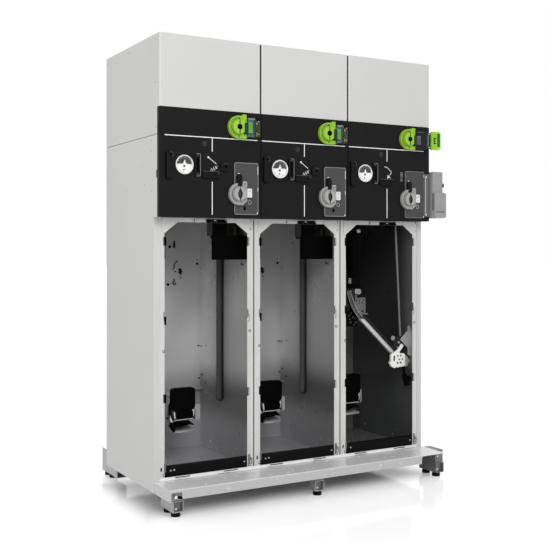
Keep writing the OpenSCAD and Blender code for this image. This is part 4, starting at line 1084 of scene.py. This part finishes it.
def make_clamp_details():
    """Ribs on the clamp blocks, light rims of the cradles, black painted shadows beside and under
    the cradles, and painted highlights along the front edges of the trays."""
    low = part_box("clamp_blocks")[0]
    dark, light = forms(2)
    for i in cubicles(dark, light, y=low.y, z=low.z):
        dark.plate(78, 4, 2, -39, 34, -0.5, 2, 0.6)
        dark.plate(60, 6, 3, -30, 100, -0.5, 2, 0.8)
        for u in (-26, 26):
            dark.lathe([(6, -0.5), (6, 1.4), (5, 2)], u, 86)
        # painted shadow left of the cradle and under it, on the tray
        dark.prism([(-60, 50), (-52, 44), (-50, 22), (-42, 2), (-44, -6), (-54, 16)], 0, 3, 0.5)
        dark.prism([(-57, -10), (-30, -7), (20, -7), (27, -13), (41, -24), (37, -26), (18, -22),
                    (-12, -28), (-33, -28), (-37, -46), (-44, -45), (-55, -26)], -4.6, 3.6)
        light.prism([(-42, 27), (-37, 29), (-35, 18), (-34, 4), (-38, 2), (-40, 14)], 0.2, 3)
        light.prism([(34, 31), (42, 34), (42, 18), (40, 6), (38, 8), (38, 20)], 0.2, 3)
        light.stroke([(-40, -3), (-30, -2.5), (36, -1)], 1.8, 0.2, 3)
        light.prism([(-55, 18), (-46, -5), (-41, -8), (-52, -9), (-57, 2)], 0, 1.5)
        # painted highlight along the tray's front edge
        light.turn((CENTRES[i], low.y - 2 * MM, low.z - 50 * MM))
        light.stroke([(-30, 2), (6, 2)], 2.2, 0, 0.6)
    dark.finish("clamp_ribs_and_shadows", "moulding_black")
    light.finish("clamp_rims_and_highlights", "galvanised")


# ---- earthing gear ----


def make_gear_fasteners():
    """Bolts and rings of the earthing gear, and the bright wires of the arm's braid."""
    form, ring, dark = forms(3)
    x = CENTRES[2]
    turn_all((form, ring, dark), (x, FRAME_Y + 20 * MM, 0))
    form.lathe([(11, -2), (11, 3), (9.5, 4)], -88, 736)
    form.plate(14, 20, 4, -104, 727, -2, 1.5, 0.8)
    dark.hoop(5.5, 1.2, 3.8, 4.6, -88, 736)
    dark.plate(42, 28, 2, -134, 765, -3, -0.4)
    for v in (784, 774):
        ring.hoop(4.6, 1.3, -1, 1, -129, v)
    # black lug behind the boot's bolt, and studs on a plate beside the terminal plate
    dark.plate(26, 32, 4, -101, 724, -9, -1.8)
    plate_face = (x, FRAME_Y + 70.3 * MM, 0)
    grey = Form(plate_face)
    dark.plate(42, 76, 4, -117, 596, -54, -50.5)
    dark.plate(20, 26, 3, -80, 596, -54, -50.5)
    for u, v, r in ((-110, 665, 3), (-97, 648, 3), (-87, 632, 4), (-99, 613, 4), (-75, 612, 3.4),
                    (-83, 602, 3), (-108, 640, 2.6), (-104, 626, 2.6)):
        grey.hoop(r, 1, -0.4, 1, u + 8, v)
    ring.turn((x, FRAME_Y + 18 * MM, 0))
    for angle in range(0, 180, 36):
        c, s = heading(angle)
        ring.stroke([(-89 - 10 * c, 972 - 8 * s), (-89 + 10 * c, 972 + 8 * s)], 1.4, -2.5, 0.8)
    ring.turn((x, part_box("earthing_arm")[0].y, 0))
    for r in (202.5, 219.5):
        ring.stroke(circle(r, 36, 95, 780, 191, 226), 1.3, -4.5, -3.1)
    for swing in (6, -6):
        turns = [(211 + (swing if k % 2 else -swing), *heading(191 + 2 * k)) for k in range(19)]
        ring.stroke([(95 + r * c, 780 + r * s) for r, c, s in turns], 0.7, -1.6, -0.4)
    form.turn((x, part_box("earthing_crank")[0].y, 0))
    form.bolt(104, 543, 6.5)
    form.bolt(134, 524, 4.2)
    form.screw(126, 505, 3)
    dark.turn(plate_face)
    for u, v in ((-62, 697), (-34, 690), (-34, 655), (-28, 700)):
        dark.screw(u, v, 3)
    dark.stroke([(-40, 640), (-30, 640), (-30, 690)], 1.4, SUNK, 0.5)
    form.finish("gear_fasteners", "dull_steel", MARK_PALE)
    ring.finish("gear_rings", "plate_grey", MARK_LIGHT)
    grey.finish("gear_studs", "plate_grey", MARK_GREY)
    dark.finish("gear_dark_marks", "dark_steel", DEEP_BLACK)


def make_casting_shade_backs():
    """Black backs behind the openings of the white casting, which paint the shade in them."""
    low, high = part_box("earthing_clamp")
    # the box starts 6 mm left of and 4 mm below the casting's own corner
    form = Form((low.x + 6 * MM, high.y, low.z + 4 * MM))
    form.plate(9.6, 22.6, 3, 11.7, 23.7, 0.3, 5)
    for j in range(3):
        for k in range(2):
            form.prism(circle(5.2 if j == 0 else 3.8, 14, 34 + 15 * k + (7 if j == 1 else 0),
                              16 + 14 * j), 0.3, 5 if j == 0 else 8.6)
    form.finish("casting_shade_backs", "moulding_black", DEEP_BLACK)


# ---- control box on the right ----


def make_control_box_details():
    """Edge and bolts of the bracket, and the dark slit and vents of the box."""
    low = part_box("control_box_bracket")[0]
    form, dark = Form(low), Form()
    for v in (8, 158):
        form.disc(2.6, 12, 6, v, SUNK, 0.6)
    # painted highlight along the bracket's edge
    form.stroke([(2, 6), (2, 158)], 1.6, SUNK, 0.4)
    form.finish("bracket_fasteners_and_highlight", "bright_steel", MARK_WHITE)
    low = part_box("control_box")[0]
    dark.turn(low)
    for k in range(4):
        u = 13 + 11 * k
        dark.prism([(u + 0.6, 25.4), (u + 7.4, 25.4), (u + 4, 18.6)], -4.2, -0.6)
    dark.plate(3.6, 66, 1, 0.9, 32, -11, -8.6)
    dark.finish("control_box_recesses", "dark_steel")


make_mimic()
make_pictograms()
make_fitting_rims()
make_gauges()
make_gauge_glasses()
make_green_dial_marks()
make_grey_dial_marks()
make_rotor_shade_liners()
dark_marks, light_marks = make_window_parts()
make_slide_marks(dark_marks, light_marks)
make_post_dots(dark_marks)
dark_marks.finish("indicator_dark_marks", "fitting_black", DEEP_BLACK)
light_marks.finish("indicator_light_marks", "post_white", MARK_WHITE)
make_shield_symbols()
make_plate_lines()
make_frame_bolts()
make_gap_shades()
make_side_fasteners()
make_latch()
make_back_fasteners()
make_sill_marks()
make_foot_bolts()
make_back_clips()
make_inner_fasteners()
make_panel_bolts()
make_clamp_details()
make_gear_fasteners()
make_casting_shade_backs()
make_control_box_details()

# ---- floor, light and camera ----

FLOOR_REACH = 40.0


def make_floor():
    mesh = bpy.data.meshes.new("floor")
    r = FLOOR_REACH
    mesh.from_pydata([(-r, -r, 0), (r, -r, 0), (r, r, 0), (-r, r, 0)], [], [(0, 1, 2, 3)])
    floor = add_object("floor", mesh)
    n = Nodes("floor")
    n.mottle(0.5, 2, neutral(0.9), neutral(0.91))
    n.put("Roughness", 0.1)
    n.put("Specular IOR Level", 0.5)
    # the floor near the row keeps the shadow, and goes to white away from it
    far, near = 0.36, 0.01
    ahead = n.fade("Y", SILL_LOW.y + 0.02, SILL_LOW.y + 0.2, far, near)
    behind = n.fade("Y", BACK_HIGH.y - 0.1, BACK_HIGH.y + 0.06, near, far)
    left = n.fade("X", ROW_X - 0.66, ROW_X - 0.56, far, near)
    right = n.fade("X", ROW_X + 0.5, ROW_X + 0.66, near, far)
    level = n.largest(ahead, behind, left, right)
    n.put("Emission Color", (1, 1, 1, 1))
    n.put("Emission Strength", n.math("MULTIPLY", n.seen(), level))
    mesh.materials.append(n.material)


def make_world():
    world = bpy.data.worlds.new("studio")
    bpy.context.scene.world = world
    world.use_nodes = True
    tree = Tree(world.node_tree)
    background = tree.tree.nodes["Background"]
    background.inputs["Color"].default_value = (1, 1, 1, 1)
    level = tree.new("ShaderNodeMix", {"Factor": tree.seen(), "A": 0.62, "B": 1.0},
                     data_type="FLOAT")
    put(tree.tree, background.inputs["Strength"], level["Result"])


def add_area(name, place, target, size, power):
    light = bpy.data.lights.new(name, "AREA")
    light.shape = "RECTANGLE"
    light.size, light.size_y = size
    light.energy = power
    lamp = add_object(name, light)
    lamp.location = place
    aim = Vector(target) - Vector(place)
    lamp.rotation_euler = aim.to_track_quat("-Z", "Y").to_euler()


def make_lights():
    low, high = cad_bounds
    target = ((low[0] + high[0]) / 2, (low[1] + high[1]) / 2, high[2] / 2)
    add_area("key", (-1.2, -4.5, 3.4), target, (3.0, 2.0), 120)
    add_area("side", (-4.5, -0.5, 2.4), target, (2.5, 2.5), 35)


def make_camera():
    """The camera stands left of the row, level, and is placed from the covers' front."""
    lens = bpy.data.cameras.new("camera")
    lens.sensor_width = 36.0
    lens.lens = 60.37
    lens.shift_y = -0.0498
    lens.clip_end = 200
    camera = add_object("camera", lens)
    camera.location = (ROW_X - 1.7755, FRONT_Y - 2.8902, 0.9078)
    camera.rotation_euler = (radians(90), 0, radians(-29.653))
    bpy.context.scene.camera = camera


make_floor()
make_world()
make_lights()
make_camera()
bpy.context.scene.view_settings.view_transform = "Standard"
